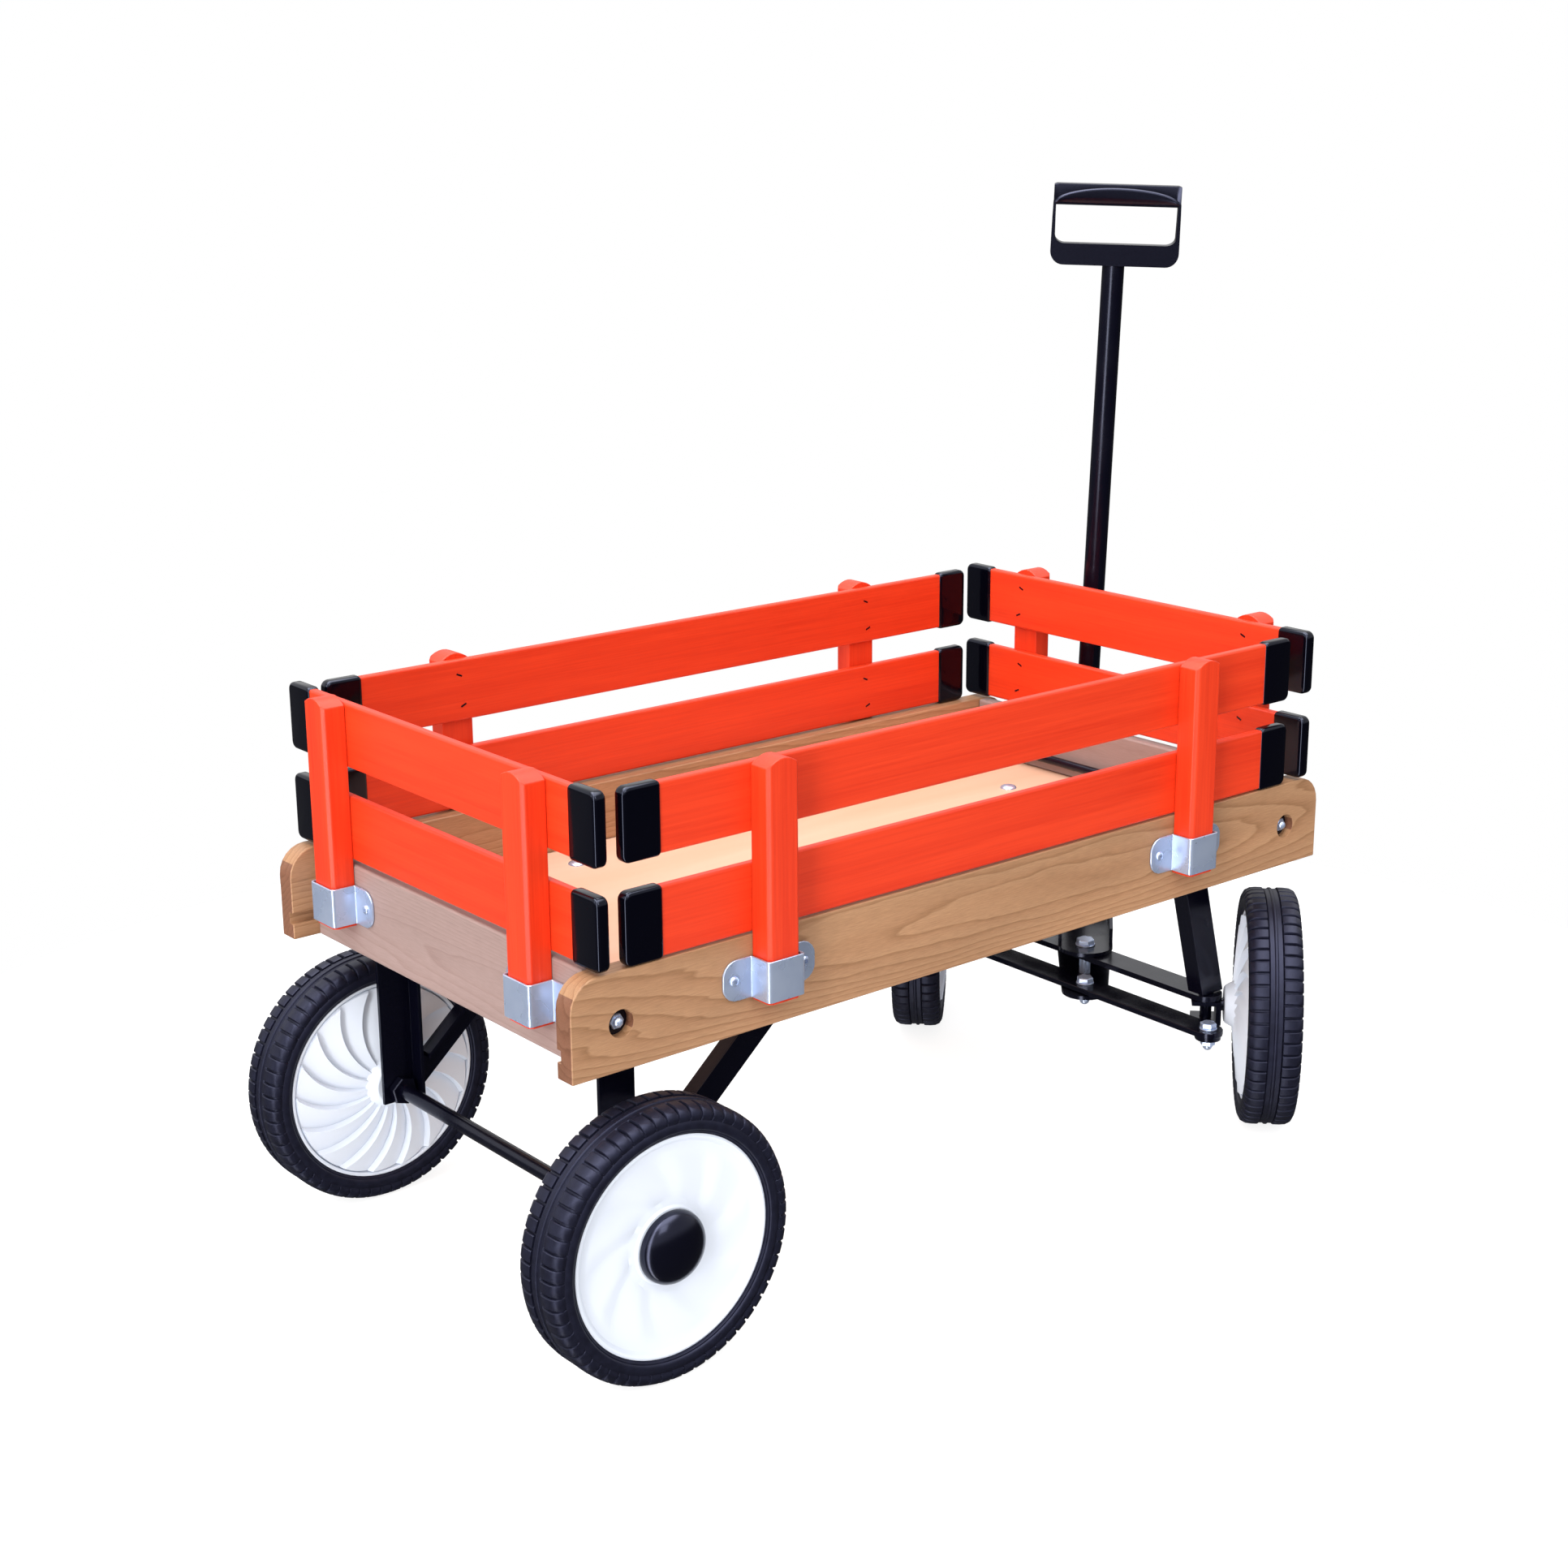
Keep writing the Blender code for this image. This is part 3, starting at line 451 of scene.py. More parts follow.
vinyl, tree, shader = finish("black_dip_moulded_vinyl", "#030309", Roughness=0.09, IOR=1.5,
                             Specular_IOR_Level=0.34, Specular_Tint=(0.66, 0.72, 1.0, 1.0))
emboss(tree, shader, noise(tree, place_of(tree), 45.0, 1.0), 0.07, 0.0010)

cap_length, proud, end_wall = 0.0318, 0.0014, 0.0030


def slat_cap(bm, low, high, axis, sign):
    """One cap over the end of a slat: round in its corners, and rolled over on every edge."""
    a, b = Vector(low) - Vector((proud, proud, proud)), Vector(high) + Vector((proud, proud, proud))
    tip = (high if sign > 0 else low)[axis] + sign * end_wall
    mouth = tip - sign * cap_length
    a[axis], b[axis] = min(tip, mouth), max(tip, mouth)
    thin = 1 - axis
    start = set(bm.verts)
    block = Matrix.Translation((a + b) / 2) @ Matrix.Diagonal((*(b - a), 1))
    made = bmesh.ops.create_cube(bm, size=1, matrix=block)
    sides = dict.fromkeys(e for v in made["verts"] for e in v.link_edges)
    across = [e for e in sides if abs((e.verts[0].co - e.verts[1].co)[thin]) > 0.001]
    outer = [e for e in across if abs(e.verts[0].co[axis] - tip) < 1e-5]
    inner = [e for e in across if e not in outer]
    bmesh.ops.bevel(bm, geom=outer, offset=0.0060, segments=7, profile=0.5, affect="EDGES")
    inner = [e for e in inner if e.is_valid]
    bmesh.ops.bevel(bm, geom=inner, offset=0.0038, segments=5, profile=0.5, affect="EDGES")
    rims = dict.fromkeys(e for v in bm.verts if v not in start for e in v.link_edges
                         if e.is_manifold and e.calc_face_angle(0) > radians(60))
    bmesh.ops.bevel(bm, geom=list(rims), offset=0.0030, segments=6, profile=0.5, affect="EDGES")


for rack, along in racks.items():
    bm = bmesh.new()
    for level in ("lower", "upper"):
        low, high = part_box(f"slat_{rack}_{level}")
        for sign in (-1, 1):
            slat_cap(bm, low, high, 0 if along == "X" else 1, sign)
    show("slat_caps_" + rack, made_of(bm, "slat_caps_" + rack), vinyl, "rack_" + rack, "black_plastic")


# ---- Stakes -------------------------------------------------------------------------------------
# Eight upright stakes of the same painted wood, chamfered down their outer corners and rounded
# over the top. Each is stapled to its two slats from inside.

for rack, along in racks.items():
    for end in ends_of[along]:
        eased(f"stake_{rack}_{end}", enamel["Z"], "rack_" + rack, "red_paint", 0.0006)


# Two staples in the inner face of each slat where it crosses a stake
for rack, along in racks.items():
    bm = bmesh.new()
    a = 0 if along == "X" else 1
    inward = 1 if rack in ("right", "rear") else -1
    for end in ends_of[along]:
        stake_low, stake_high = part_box(f"stake_{rack}_{end}")
        for level in ("lower", "upper"):
            low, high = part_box(f"slat_{rack}_{level}")
            for k in (-1, 1):
                spot = Vector((0, 0, (low.z + high.z) / 2 + k * 0.0125))
                spot[a] = (stake_low[a] + stake_high[a]) / 2 - k * 0.0015
                spot[1 - a] = (high if inward > 0 else low)[1 - a]
                slant = Matrix.Rotation(radians(24 * k), 4, "Y" if a == 0 else "X")
                size = (0.0052, 0.0006, 0.0013) if a == 0 else (0.0006, 0.0052, 0.0013)
                bmesh.ops.create_cube(
                    bm, size=1, matrix=Matrix.Translation(spot) @ slant @ Matrix.Diagonal((*size, 1)))
    show("staples_" + rack, made_of(bm, "staples_" + rack), chassis_black, "rack_" + rack, "black_steel")


# ---- Stake brackets -----------------------------------------------------------------------------
# Eight straps of 1.6 mm zinc-plated steel, pressed to a hat shape over the stakes, with round-ended
# flanges that lie on the boards.

def strap(bm, path, height, thickness, tip_radius, matrix):
    """Sheet metal bent along a path in plan, upright, with its two ends cut round."""
    length = [0.0]
    for first, second in zip(path, path[1:]):
        length.append(length[-1] + (Vector(second) - Vector(first)).length)
    columns = []
    for i, (x, y) in enumerate(path):
        before, after = Vector(path[max(i - 1, 0)]), Vector(path[min(i + 1, len(path) - 1)])
        along = (after - before).normalized()
        out = Vector((-along.y, along.x))
        from_tip = min(length[i], length[-1] - length[i])
        inset = tip_radius - sqrt(max(tip_radius ** 2 - (tip_radius - min(from_tip, tip_radius)) ** 2, 0))
        half = height / 2 - inset
        columns.append([bm.verts.new(matrix @ Vector((x + out.x * t, y + out.y * t, z)))
                        for t, z in ((0, half), (0, -half), (thickness, -half), (thickness, half))])
    for first, second in zip(columns, columns[1:]):
        for i in range(4):
            j = (i + 1) % 4
            bm.faces.new((first[i], first[j], second[j], second[i]))
    bm.faces.new(columns[0][::-1])
    bm.faces.new(columns[-1])


def bend(x, y, radius, first, last, steps=6):
    """An arc about (x, y), from one bearing in degrees to another."""
    turns = [radians(first + (last - first) * i / steps) for i in range(steps + 1)]
    return [(x + radius * cos(turn), y + radius * sin(turn)) for turn in turns]


screws_at = []
flange, sheet, bracket_high, pocket = 0.041, 0.0016, 0.030, 0.01485
inside, outside, screw_out = 0.0024, 0.0034, 0.0315
for rack, along in racks.items():
    for end in ends_of[along]:
        node = f"bracket_{rack}_{end}"
        low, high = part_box(node)
        middle = (low + high) / 2
        out = {"right": (0, -1), "left": (0, 1), "rear": (-1, 0), "front": (1, 0)}[rack]
        face = {"right": high.y, "left": low.y, "rear": high.x, "front": low.x}[rack]
        seat = Vector((middle.x, face, middle.z)) if along == "X" else Vector((face, middle.y, middle.z))
        across = Vector((-out[1], out[0], 0))
        turn = Matrix((across * -1, Vector((*out, 0)), Vector((0, 0, 1)))).transposed().to_4x4()
        depth = (high.y - low.y if along == "X" else high.x - low.x) - sheet
        half_path = (
            [(-flange + 0.0006 * k * k, 0.0) for k in range(6)]
            + bend(-pocket - inside, inside, inside, -90, 0)
            + bend(-pocket + outside - sheet, depth - outside + sheet, outside - sheet, 180, 90))
        path = half_path + [(-x, y) for x, y in reversed(half_path)]
        bm = bmesh.new()
        strap(bm, path, bracket_high, sheet, 0.0120, Matrix.Translation(seat) @ turn)
        bmesh.ops.recalc_face_normals(bm, faces=bm.faces)
        made = show(node + "_finished", made_of(bm, node), zinc, "bed", "zinc", node)
        rolled = made.modifiers.new("rolled_edge", "BEVEL")
        rolled.width, rolled.segments = 0.0004, 2
        rolled.limit_method, rolled.angle_limit = "ANGLE", radians(60)
        for offset in (-screw_out, screw_out):
            screws_at.append((seat + across * offset + Vector((*out, 0)) * sheet, Vector((*out, 0))))


# ---- Bracket screws -----------------------------------------------------------------------------
# Two pan-head screws through each bracket, with a cross recess, driven into the board.

def tree_of(name, inputs):
    """A new geometry tree with named inputs; returns the tree and its input node."""
    tree = bpy.data.node_groups.new(name, "GeometryNodeTree")
    tree.interface.new_socket("Geometry", in_out="INPUT", socket_type="NodeSocketGeometry")
    for label, kind in inputs:
        tree.interface.new_socket(label, in_out="INPUT", socket_type=kind)
    tree.interface.new_socket("Geometry", in_out="OUTPUT", socket_type="NodeSocketGeometry")
    return tree, tree.nodes.new("NodeGroupInput")


def grow(tree, start, values, name):
    """Run a geometry tree on a start mesh and keep the result as a plain mesh."""
    helper = bpy.data.objects.new(name + "_helper", start)
    scene.collection.objects.link(helper)
    modifier = helper.modifiers.new("grow", "NODES")
    modifier.node_group = tree
    sockets = {s.name: s.identifier for s in tree.interface.items_tree if s.in_out == "INPUT"}
    for label, value in values.items():
        modifier[sockets[label]] = value
    mesh = bpy.data.meshes.new_from_object(helper.evaluated_get(bpy.context.evaluated_depsgraph_get()))
    bpy.data.objects.remove(helper)
    mesh.name = name
    return mesh


driven, given = tree_of("drive_fasteners", [
    ("Fastener", "NodeSocketObject"), ("Metal", "NodeSocketMaterial"), ("Turn", "NodeSocketFloat")])
item = add(driven, "GeometryNodeObjectInfo", {"transform_space": "RELATIVE"},
           {"Object": given.outputs["Fastener"]})
outward = add(driven, "GeometryNodeInputNamedAttribute", {"data_type": "FLOAT_VECTOR", "Name": "out"})
stand = add(driven, "FunctionNodeAlignRotationToVector", {"axis": "Z"},
            {"Vector": outward.outputs["Attribute"]})
spin = add(driven, "FunctionNodeRandomValue", {"data_type": "FLOAT", "Seed": 7}, {3: given.outputs["Turn"]})
about = add(driven, "ShaderNodeCombineXYZ", {}, {"Z": spin.outputs[1]})
turned = add(driven, "FunctionNodeRotateRotation", {"rotation_space": "LOCAL"},
             {"Rotation": stand.outputs[0], "Rotate By": about.outputs[0]})
placed = add(driven, "GeometryNodeInstanceOnPoints", {},
             {"Points": given.outputs["Geometry"], "Instance": item.outputs["Geometry"],
              "Rotation": turned.outputs[0]})
real = add(driven, "GeometryNodeRealizeInstances", {}, {"Geometry": placed.outputs[0]})
metal = add(driven, "GeometryNodeSetMaterial", {},
            {"Geometry": real.outputs[0], "Material": given.outputs["Metal"]})
add(driven, "NodeGroupOutput", {}, {"Geometry": metal.outputs[0]})


def drive(name, item_mesh, places):
    """Set one fastener at each (point, outward direction), and show them as one zinc piece of the bed."""
    item = bpy.data.objects.new(name + "_item", item_mesh)
    scene.collection.objects.link(item)
    points = bpy.data.meshes.new(name + "_points")
    points.from_pydata([tuple(p) for p, _ in places], [], [])
    out = points.attributes.new("out", "FLOAT_VECTOR", "POINT")
    for datum, (_, direction) in zip(out.data, places):
        datum.vector = direction
    mesh = grow(driven, points, {"Fastener": item, "Metal": zinc, "Turn": 6.28}, name)
    bpy.data.objects.remove(item)
    smooth(mesh)
    show(name, mesh, zinc, "bed", "zinc")


screw = bmesh.new()
lathe(screw, [(0, 0.0008), (0.0013, 0.0009), (0.0016, 0.0019), (0.0024, 0.00185), (0.0033, 0.0012),
              (0.0037, 0.0002), (0.0037, -0.0004), (0, -0.0004)], 24)
for quarter in range(4):
    wing = Matrix.Translation((0.0011, 0, 0.00165)) @ Matrix.Diagonal((0.0012, 0.0006, 0.0007, 1))
    bmesh.ops.create_cube(screw, size=1, matrix=Matrix.Rotation(pi / 2 * quarter, 4, "Z") @ wing)
drive("bracket_screws", made_of(screw, "screw"), screws_at)


# ---- Floor bolts --------------------------------------------------------------------------------
# Round-headed coach bolts through the floor panel, over the cross angles and the brace feet.

coach = bmesh.new()
crown = [(0.0075 * sin(radians(a)), 0.0030 * cos(radians(a))) for a in range(0, 91, 15)]
lathe(coach, crown + [(0.0075, -0.0003), (0, -0.0003)], 28)
panel_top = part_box("floor_panel")[1].z
front_x = (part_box("front_cross_angle")[0].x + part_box("front_cross_angle")[1].x) / 2
rear_x = (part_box("rear_cross_angle")[0].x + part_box("rear_cross_angle")[1].x) / 2
brace_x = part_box("rear_leg_right")[1].x - 0.023
drive("floor_bolts", made_of(coach, "coach_bolt"),
      [(Vector((x, y, panel_top)), Vector((0, 0, 1)))
       for x, out in ((front_x, 0.068), (rear_x, 0.10), (brace_x, 0.139)) for y in (out, -out)])


# ---- Undercarriage ------------------------------------------------------------------------------
# Rolled and flat mild steel, welded and dipped in black enamel: cross angles under the floor, legs,
# braces, the rear axle and the front beam.

for node in ("rear_cross_angle", "front_cross_angle", "rear_leg_right", "rear_leg_left",
             "front_leg_right", "front_leg_left", "front_beam"):
    eased(node, chassis_black, "bed", "black_steel", 0.0006)

low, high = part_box("rear_axle")
middle, reach, radius = (low + high) / 2, (high.y - low.y) / 2, (high.z - low.z) / 2
bm = bmesh.new()
lathe(bm, [(0, reach), (radius - 0.001, reach), (radius, reach - 0.001),
           (radius, -reach + 0.001), (radius - 0.001, -reach), (0, -reach)], 28,
      Matrix.Translation(middle) @ Matrix.Rotation(pi / 2, 4, "X"))
show("rear_axle_finished", made_of(bm, "rear_axle"), chassis_black, "bed", "black_steel", "rear_axle")

# A black jam nut on each side of each leg holds the axle
bm = bmesh.new()
leg_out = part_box("rear_leg_left")[1].y
for side in (-1, 1):
    turned = Matrix.Rotation(-side * pi / 2, 4, "X") @ Matrix.Rotation(0.3, 4, "Z")
    for start, end in ((leg_out + 0.0002, leg_out + 0.0058), (leg_out - 0.0105, leg_out - 0.0032)):
        hexagon(bm, 0.0200, start, end, 0.0008, Matrix.Translation((middle.x, 0, middle.z)) @ turned)
show("axle_nuts", made_of(bm, "axle_nuts"), chassis_black, "bed", "black_steel")


# ---- Steering -----------------------------------------------------------------------------------
# Two knuckles turn on the kingpins and are tied by a flat bar. A bent channel yoke in the middle
# swings the bar, and holds the foot of the handle between its cheeks.

for node, body in (("knuckle_right", "knuckle_right"), ("knuckle_left", "knuckle_left"),
                   ("tie_rod", "tie_rod"), ("steering_yoke", "yoke")):
    eased(node, chassis_black, body, "black_steel", 0.0006)


def hex_bolt(bm, across, head_low, head_high, nut_low, nut_high, shank, matrix):
    """A hexagon bolt with a domed top, its shank, and a dome nut underneath."""
    hexagon(bm, across, head_low + 0.0008, head_high, 0.0006, matrix)
    washer(bm, across * 0.62, 0.0010, matrix @ Matrix.Translation((0, 0, head_low)))
    lathe(bm, [(0, head_low), (shank, head_low), (shank, nut_high), (0, nut_high)], 20, matrix)
    hanging = matrix @ Matrix.Translation((0, 0, nut_high)) @ Matrix.Rotation(pi, 4, "X")
    dome_nut(bm, across * 0.92, nut_high - nut_low, hanging)


joint = {j["name"]: j for j in frame["joints"]}
for node, across, shank in (("steering_bolt", 0.0142, 0.005), ("tie_rod_bolt", 0.0126, 0.004)):
    low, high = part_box(node)
    middle = (low + high) / 2
    bm = bmesh.new()
    hex_bolt(bm, across, high.z - 0.0055, high.z, low.z, low.z + 0.0105, shank,
             Matrix.Translation((middle.x, middle.y, 0)))
    show(node + "_finished", made_of(bm, node), zinc, "yoke", "zinc", node)

steer = Vector(joint["handle_tilt"]["pos_m"]) - Vector(joint["steering"]["pos_m"])
steer.z = 0
steer.normalize()
arm_back = Vector(joint["tie_rod_turn"]["pos_m"]) - Vector(joint["steering"]["pos_m"])
bar_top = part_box("tie_rod")[1].z
for side in ("right", "left"):
    pin = Vector(joint[f"knuckle_{side}_turn"]["pos_m"]) + arm_back
    bm = bmesh.new()
    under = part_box("knuckle_" + side)[0].z
    hex_bolt(bm, 0.0120, bar_top + 0.0002, bar_top + 0.0055, under - 0.0105, under - 0.0002, 0.0036,
             Matrix.Translation((pin.x, pin.y, 0)))
    show("arm_bolt_" + side, made_of(bm, "arm_bolt_" + side), zinc, "knuckle_" + side, "zinc")


# ---- Wheels -------------------------------------------------------------------------------------
# Each wheel is a white moulded disc with swept fan vanes inside, a black rubber tyre with two rows of
# cross lugs and a centre rib, and a black push-on hub cap over the axle nut.

rubber, tree, shader = finish("black_tyre_rubber", "#0D0C19", Roughness=0.46, IOR=1.5,
                              Specular_IOR_Level=0.30, Specular_Tint=(0.62, 0.66, 1.0, 1.0))
place = place_of(tree)
tint(tree, shader, noise(tree, place, 140.0, 4.0), (0.3, "#0F0F1A"), (0.7, "#171826"))
emboss(tree, shader, noise(tree, place, 1100.0, 2.0), 0.15, 0.0003)

white_plastic, tree, shader = finish("white_moulded_polypropylene", "#D5DBE6", Roughness=0.34, IOR=1.49,
                                     Specular_IOR_Level=0.4)
emboss(tree, shader, noise(tree, place_of(tree), 260.0, 2.0), 0.05, 0.0003)

cap_plastic, tree, shader = finish("black_moulded_abs", "#06060F", Roughness=0.20, IOR=1.54,
                                   Specular_IOR_Level=0.40, Specular_Tint=(0.62, 0.66, 1.0, 1.0))
emboss(tree, shader, noise(tree, place_of(tree), 300.0, 2.0), 0.06, 0.0003)

# Copies of an item about the wheel's axis
around, given = tree_of("repeat_about_axle", [
    ("Item", "NodeSocketObject"), ("Count", "NodeSocketInt"), ("Stuff", "NodeSocketMaterial")])
hub_points = add(around, "GeometryNodeMeshLine", {"mode": "OFFSET", "Offset": (0, 0, 0)},
                 {"Count": given.outputs["Count"]})
step = maths(around, "DIVIDE", 2 * pi, given.outputs["Count"])
angle = maths(around, "MULTIPLY", add(around, "GeometryNodeInputIndex").outputs[0], step)
spun = add(around, "ShaderNodeCombineXYZ", {}, {"Z": angle})
item = add(around, "GeometryNodeObjectInfo", {"transform_space": "RELATIVE"},
           {"Object": given.outputs["Item"]})
ring = add(around, "GeometryNodeInstanceOnPoints", {},
           {"Points": hub_points.outputs[0], "Instance": item.outputs["Geometry"],
            "Rotation": spun.outputs[0]})
whole = add(around, "GeometryNodeJoinGeometry", {})
around.links.new(given.outputs["Geometry"], whole.inputs[0])
around.links.new(ring.outputs[0], whole.inputs[0])
real = add(around, "GeometryNodeRealizeInstances", {}, {"Geometry": whole.outputs[0]})
stuffed = add(around, "GeometryNodeSetMaterial", {},
              {"Geometry": real.outputs[0], "Material": given.outputs["Stuff"]})
add(around, "NodeGroupOutput", {}, {"Geometry": stuffed.outputs[0]})


def ringed(name, start, item_mesh, count, stuff):
    """A start mesh with copies of an item set about Z at even angles."""
    item = bpy.data.objects.new(name + "_item", item_mesh)
    scene.collection.objects.link(item)
    mesh = grow(around, start, {"Item": item, "Count": count, "Stuff": stuff}, name)
    bpy.data.objects.remove(item)
    return mesh


outer_r = 0.1016

# The carcass of the tyre, with a centre rib, a smooth band on each side of it and steps on each wall
half_wall = [
    (0.1013, 0.0007), (0.1010, 0.0012), (0.1002, 0.0016), (0.1003, 0.0050), (0.0997, 0.0057),
    (0.0990, 0.0062), (0.0986, 0.0165), (0.0968, 0.0200), (0.0940, 0.0214), (0.0930, 0.0213),
    (0.0926, 0.0207), (0.0918, 0.0207), (0.0912, 0.0214), (0.0880, 0.0221), (0.0856, 0.0218),
    (0.0846, 0.0212), (0.0842, 0.0203), (0.0832, 0.0201), (0.0828, 0.0196), (0.0815, 0.0190)]
carcass = bmesh.new()
lathe(carcass, [(r, z) for r, z in reversed(half_wall)] + [(r, -z) for r, z in half_wall], 144)
bmesh.ops.recalc_face_normals(carcass, faces=carcass.faces)

# One lug on each side of the bands: a bar across the tread that turns down over the shoulder
lug_count, lug_wide = 60, 0.0084
lug = bmesh.new()
for side, offset in ((1, 0.0), (-1, 0.5)):
    crown = [(0.1011, 0.0062), (0.1014, 0.0068), (0.1014, 0.0120), (0.1009, 0.0165),
             (0.0990, 0.0202), (0.0956, 0.0221), (0.0938, 0.0219)]
    root = [(r - 0.0032, z - (0.0010 if k > 3 else 0.0)) for k, (r, z) in enumerate(crown)]
    rows = []
    for (r1, z1), (r0, z0) in zip(crown, root):
        row = []
        for r, z, wide in ((r0, z0, lug_wide + 0.0012), (r1 - 0.0005, z1, lug_wide + 0.0002),
                           (r1, z1, lug_wide - 0.0008), (r1, z1, -lug_wide + 0.0008),
                           (r1 - 0.0005, z1, -lug_wide - 0.0002), (r0, z0, -lug_wide - 0.0012)):
            swing = wide / 2 / outer_r + offset * 2 * pi / lug_count
            row.append(lug.verts.new((r * cos(swing), r * sin(swing), side * z)))
        rows.append(row)
    for first, second in zip(rows, rows[1:]):
        for k in range(6):
            lug.faces.new((first[k], first[(k + 1) % 6], second[(k + 1) % 6], second[k]))
    lug.faces.new(rows[0])
    lug.faces.new(rows[-1][::-1])
bmesh.ops.recalc_face_normals(lug, faces=lug.faces)
tyre_mesh = ringed("tyre", made_of(carcass, "carcass"), made_of(lug, "lug"), lug_count, rubber)

# The disc in one skin: nine shallow swept sectors outside, and eighteen fan vanes inside. Each ring is
# (radius, height, rise of its steps, twist, points to a step).
points = 90
shares = {5: [0.0, 0.23, 0.46, 0.68, 0.90],
          10: [0.0, 0.11, 0.22, 0.33, 0.44, 0.55, 0.66, 0.77, 0.88, 0.96]}
rings = [
    (0.0150, 0.0160, 0, 0, 10), (0.0275, 0.0152, 0, 0, 10), (0.0290, 0.0136, 0, 0, 10),
    (0.0335, 0.0128, 0, 0, 10), (0.0350, 0.0126, 0.0009, 0.02, 10), (0.0480, 0.0126, 0.0017, 0.16, 10),
    (0.0640, 0.0135, 0.0017, 0.34, 10), (0.0690, 0.0145, 0.0007, 0.40, 10), (0.0715, 0.0150, 0, 0.42, 10),
    (0.0760, 0.0163, 0, 0.42, 10), (0.0785, 0.0187, 0, 0.42, 10), (0.0800, 0.0192, 0, 0.42, 10),
    (0.0815, 0.0186, 0, 0.42, 10), (0.0815, -0.0190, 0, 0.42, 10), (0.0803, -0.0195, 0, 0.42, 5),
    (0.0790, -0.0188, 0, 0.42, 5), (0.0784, -0.0150, 0, 0.42, 5)]
for k in range(13):
    t = 1 - k / 12
    crest = -0.0285 + 0.0068 * t
    deep = 0.0022 + 0.0040 * sin(pi * min(t * 0.72 + 0.05, 1))
    rings.append((0.0205 + 0.0570 * t, crest + deep, -deep, 0.42 * t ** 1.5, 5))
rings += [(0.0198, -0.0282, 0, 0, 5), (0.0180, -0.0320, 0, 0, 5), (0.0160, -0.0352, 0, 0, 5),
          (0.0148, -0.0360, 0, 0, 5), (0.0070, -0.0360, 0, 0, 5)]
disc = bmesh.new()
loops = []
for radius, height, step_rise, twist, per in rings:
    loop = []
    for v in range(points):
        share = shares[per][v % per]
        turn = 2 * pi * (v // per + share) / (points / per) + twist
        climb = (share / 0.9) ** 0.8 if per == 5 else min(share / 0.66, (1 - share) / 0.34)
        loop.append(disc.verts.new((radius * cos(turn), radius * sin(turn), height + step_rise * climb)))
    loops.append(loop)
for first, second in zip(loops, loops[1:] + loops[:1]):
    for v in range(points):
        after = (v + 1) % points
        disc.faces.new((first[v], first[after], second[after], second[v]))
bmesh.ops.recalc_face_normals(disc, faces=disc.faces)
disc_mesh = made_of(disc, "disc")

hub = bmesh.new()
dome = [(0.0268 * sin(radians(a)), 0.0180 + 0.0135 * cos(radians(a))) for a in range(0, 91, 9)]
lathe(hub, dome + [(0.0268, 0.0165), (0.0258, 0.0155), (0.0, 0.0155)], 64)
hub_mesh = made_of(hub, "hub")
smooth(tyre_mesh, 40)
smooth(disc_mesh, 24)

for place in ("rear_right", "rear_left", "front_right", "front_left"):
    spin = joint[f"wheel_{place}_spin"]
    centre, axle = Vector(spin["pos_m"]), Vector(spin["axis"]).normalized()
    if place.endswith("right"):
        axle = -axle
    if place.startswith("rear"):
        low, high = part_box("tyre_" + place)
        centre.y = (low.y + high.y) / 2
    turn = Matrix((Vector((0, 0, 1)).cross(axle) * -1, Vector((0, 0, 1)), axle))
    if turn.determinant() < 0:
        turn[0] = -turn[0]
    place_at = Matrix.Translation(centre) @ turn.transposed().to_4x4()
    for part, mesh, stuff, slot in (("tyre", tyre_mesh, rubber, "tyre_rubber"),
                                    ("wheel_disc", disc_mesh, white_plastic, "white_plastic"),
                                    ("hub_cap", hub_mesh, cap_plastic, "black_plastic")):
        copy = mesh.copy()
        copy.transform(place_at)
        show(f"{part}_{place}_finished", copy, stuff, "wheel_" + place, slot, f"{part}_{place}")


# ---- Handle -------------------------------------------------------------------------------------
# A black enamelled steel tube welded to a cross tube, pinned in the yoke, with a black moulded
# loop grip pressed and riveted on its top.

pivot = Vector(joint["handle_tilt"]["pos_m"])
along = Vector(joint["handle_tilt"]["axis"]).normalized()
stand = Matrix.Translation(pivot) @ Matrix((steer, along, Vector((0, 0, 1)))).transposed().to_4x4()
pole_side, pole_lean, pole_r, bore_r = 0.0086, radians(1.75), 0.0098, 0.0084
grip_low, grip_high, grip_wide, grip_deep = 0.577, 0.6468, 0.0562, 0.0115
up_pole = stand @ Matrix.Translation((0, pole_side, 0)) @ Matrix.Rotation(pole_lean, 4, "X")
bm = bmesh.new()
lathe(bm, [(bore_r, grip_low + 0.012), (pole_r, grip_low + 0.012), (pole_r, 0.0045), (bore_r, 0.0045)],
      40, up_pole)
tube_half, cheek = 0.0203, 0.0248
on_side = stand @ Matrix.Rotation(-pi / 2, 4, "X")
lathe(bm, [(0.0043, tube_half), (0.0102, tube_half), (0.0110, tube_half - 0.0008),
           (0.0110, -tube_half + 0.0008), (0.0102, -tube_half), (0.0043, -tube_half)], 36, on_side)
bmesh.ops.recalc_face_normals(bm, faces=bm.faces)
show("handle_pole_finished", made_of(bm, "handle_pole"), chassis_black, "handle", "black_steel",
     "handle_pole")

bm = bmesh.new()
hex_bolt(bm, 0.0118, cheek, cheek + 0.0050, -cheek - 0.0088, -cheek, 0.0038, on_side)
show("handle_bolt_finished", made_of(bm, "handle_bolt"), zinc, "yoke", "zinc", "handle_bolt")

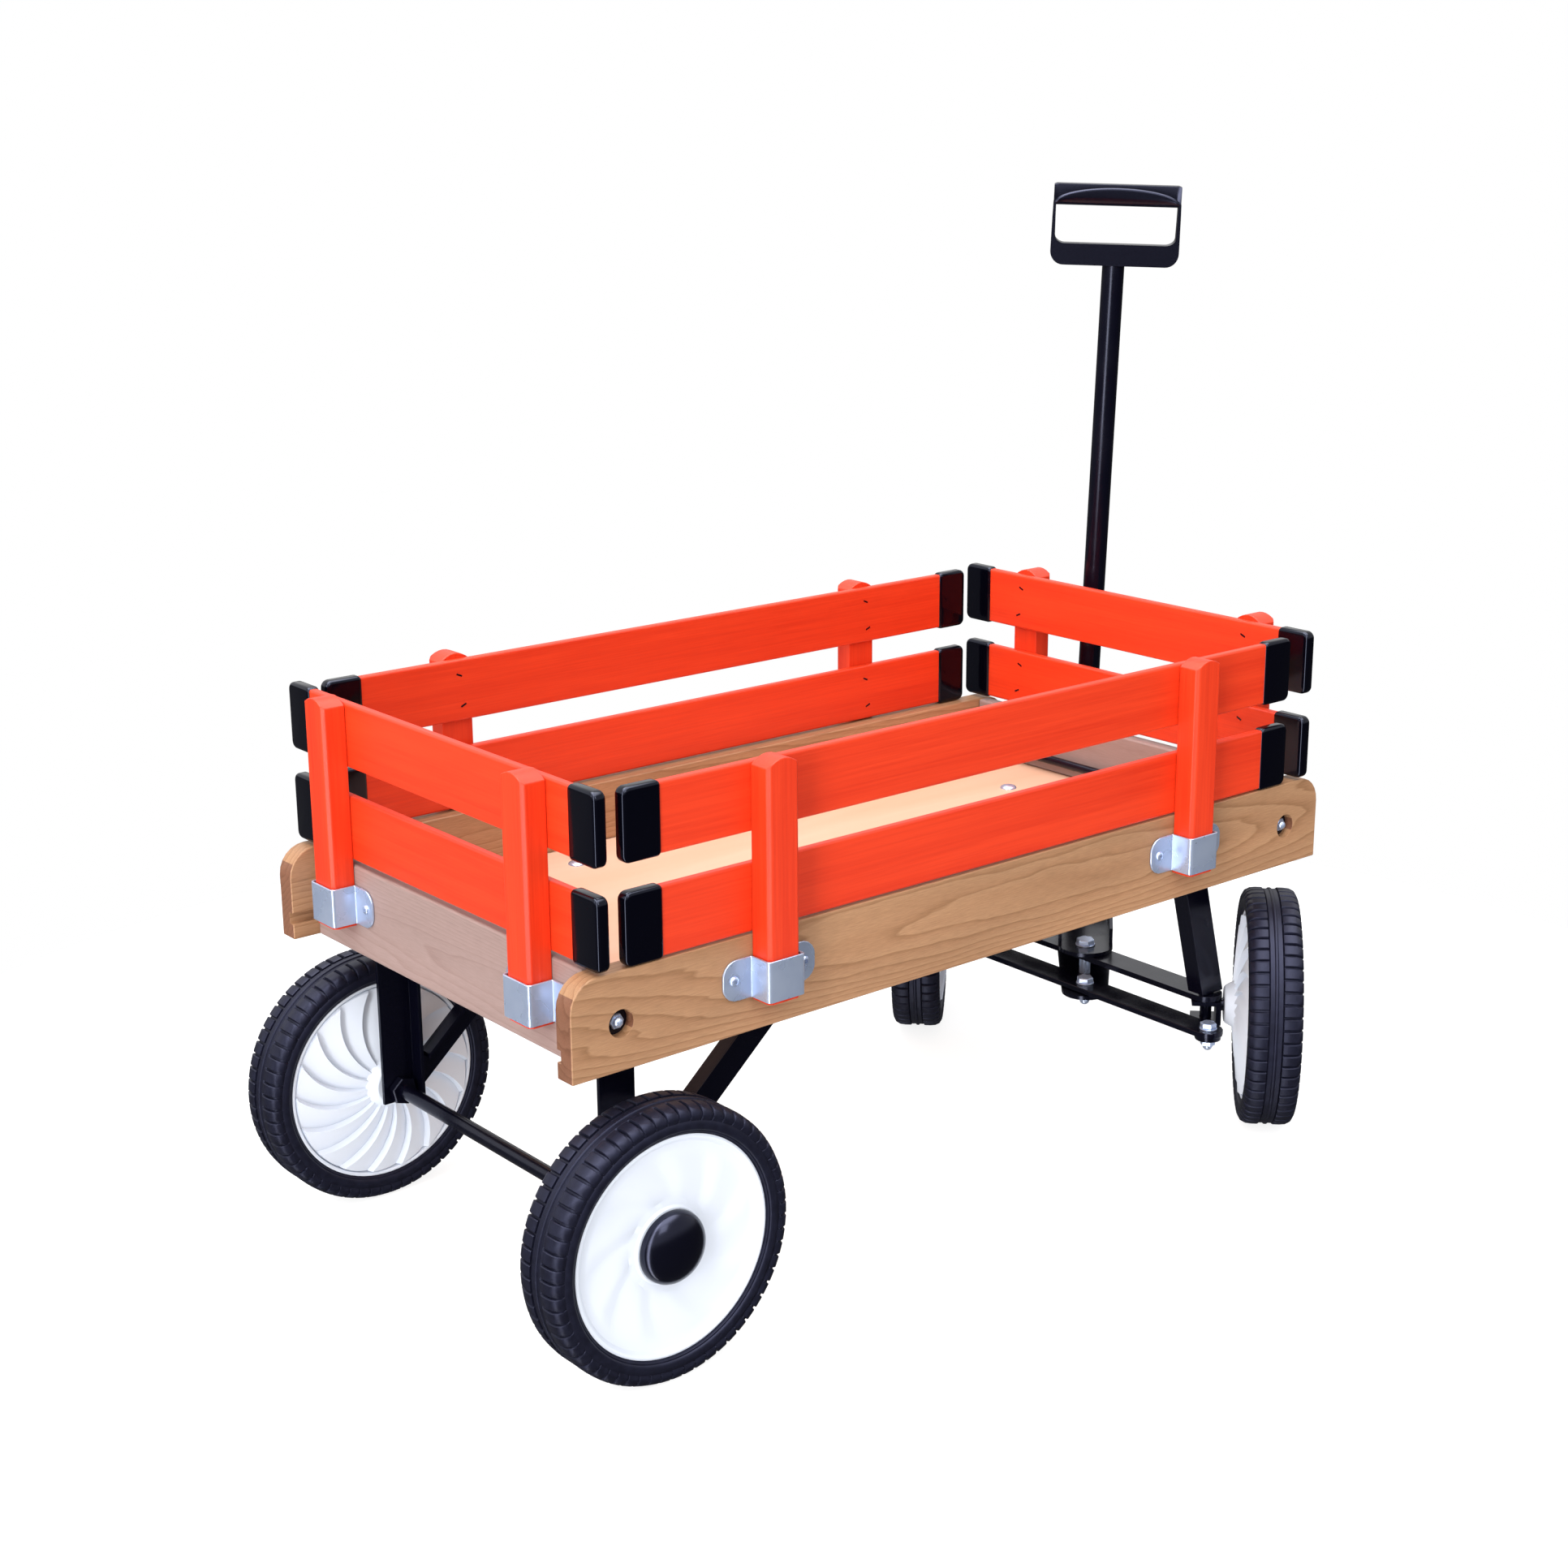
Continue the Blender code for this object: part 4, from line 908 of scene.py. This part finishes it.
# The grip's lower band and thin sides: an outer and an inner line, joined across the depth
bar_low, band_high = grip_high - 0.0185, grip_low + 0.0186
corner = 0.0115
right_half = [((0.0, grip_low), (0.0, band_high)), ((0.0300, grip_low), (0.0300, band_high)),
              ((grip_wide - corner, grip_low), (grip_wide - 0.0125, band_high))]
for k in range(1, 9):
    a = radians(-90 + 90 * k / 8)
    right_half.append(((grip_wide - corner + corner * cos(a), grip_low + 0.0120 + 0.0120 * sin(a)),
                       (grip_wide - 0.0125 + 0.0091 * cos(a), band_high + 0.0066 + 0.0066 * sin(a))))
right_half += [((grip_wide - 0.0003, bar_low - 0.010), (grip_wide - 0.0031, bar_low - 0.010)),
               ((grip_wide - 0.0006, bar_low + 0.003), (grip_wide - 0.0030, bar_low + 0.003))]
both = [tuple((-y, z) for y, z in pair) for pair in reversed(right_half[1:])] + right_half
grip = bmesh.new()
stations = []
for (outer_y, outer_z), (inner_y, inner_z) in both:
    stations.append([grip.verts.new((x, y, z)) for x, y, z in (
        (-grip_deep + 0.0006, outer_y, outer_z), (grip_deep - 0.0006, outer_y, outer_z),
        (grip_deep - 0.0006, inner_y, inner_z), (-grip_deep + 0.0006, inner_y, inner_z))])
for first, second in zip(stations, stations[1:]):
    for k in range(4):
        grip.faces.new((first[k], first[(k + 1) % 4], second[(k + 1) % 4], second[k]))
grip.faces.new(stations[0])
grip.faces.new(stations[-1][::-1])
rims = [e for e in grip.edges if e.is_manifold and e.calc_face_angle(0) > radians(50)]
bmesh.ops.bevel(grip, geom=rims, offset=0.0009, segments=3, profile=0.5, affect="EDGES")

# The upper bar: flat above an arch, and swelling out below the arch to a round finger side
stations = []
bar_tall = grip_high - bar_low
for k in range(49):
    share = -1 + 2 * k / 48
    y = share * (grip_wide - 0.0008)
    edge = 1 - max(abs(share) - 0.965, 0) / 0.035 * 0.10
    arch = bar_low + 0.0010 + 0.80 * bar_tall * sqrt(max(1 - (share / 0.985) ** 2, 0)) ** 0.85
    swell = min(1.0, (arch - bar_low) / 0.0040)
    flat = grip_deep - 0.0024 * swell
    half = [(0.0, grip_high), (flat - 0.0010, grip_high), (flat - 0.0002, grip_high - 0.0004),
            (flat, grip_high - 0.0012)]
    top_of_arch = min(arch, grip_high - 0.0020)
    step = grip_deep - flat
    for a in (0, 18, 36, 54, 72, 90):
        half.append((flat + step * sin(radians(a)), top_of_arch - step * (1 - cos(radians(a)))))
    fall = top_of_arch - step - bar_low
    for a in (20, 38, 54, 68, 80):
        inward = 0.62 * swell
        half.append((grip_deep * (1 - inward * (1 - cos(radians(a)))),
                     bar_low + fall * (1 - sin(radians(a)))))
    half.append((0.0, bar_low - 0.0002))
    section = half + [(-x, z) for x, z in reversed(half[1:-1])]
    stations.append([grip.verts.new((x * edge, y, bar_low + (z - bar_low) * edge + bar_tall * (1 - edge) / 2))
                     for x, z in section])
for first, second in zip(stations, stations[1:]):
    for k in range(len(first)):
        j = (k + 1) % len(first)
        grip.faces.new((first[k], first[j], second[j], second[k]))
grip.faces.new(stations[0])
grip.faces.new(stations[-1][::-1])
bmesh.ops.recalc_face_normals(grip, faces=grip.faces)
grip.transform(up_pole)
show("handle_grip_finished", made_of(grip, "handle_grip"), cap_plastic, "handle", "black_plastic",
     "handle_grip")
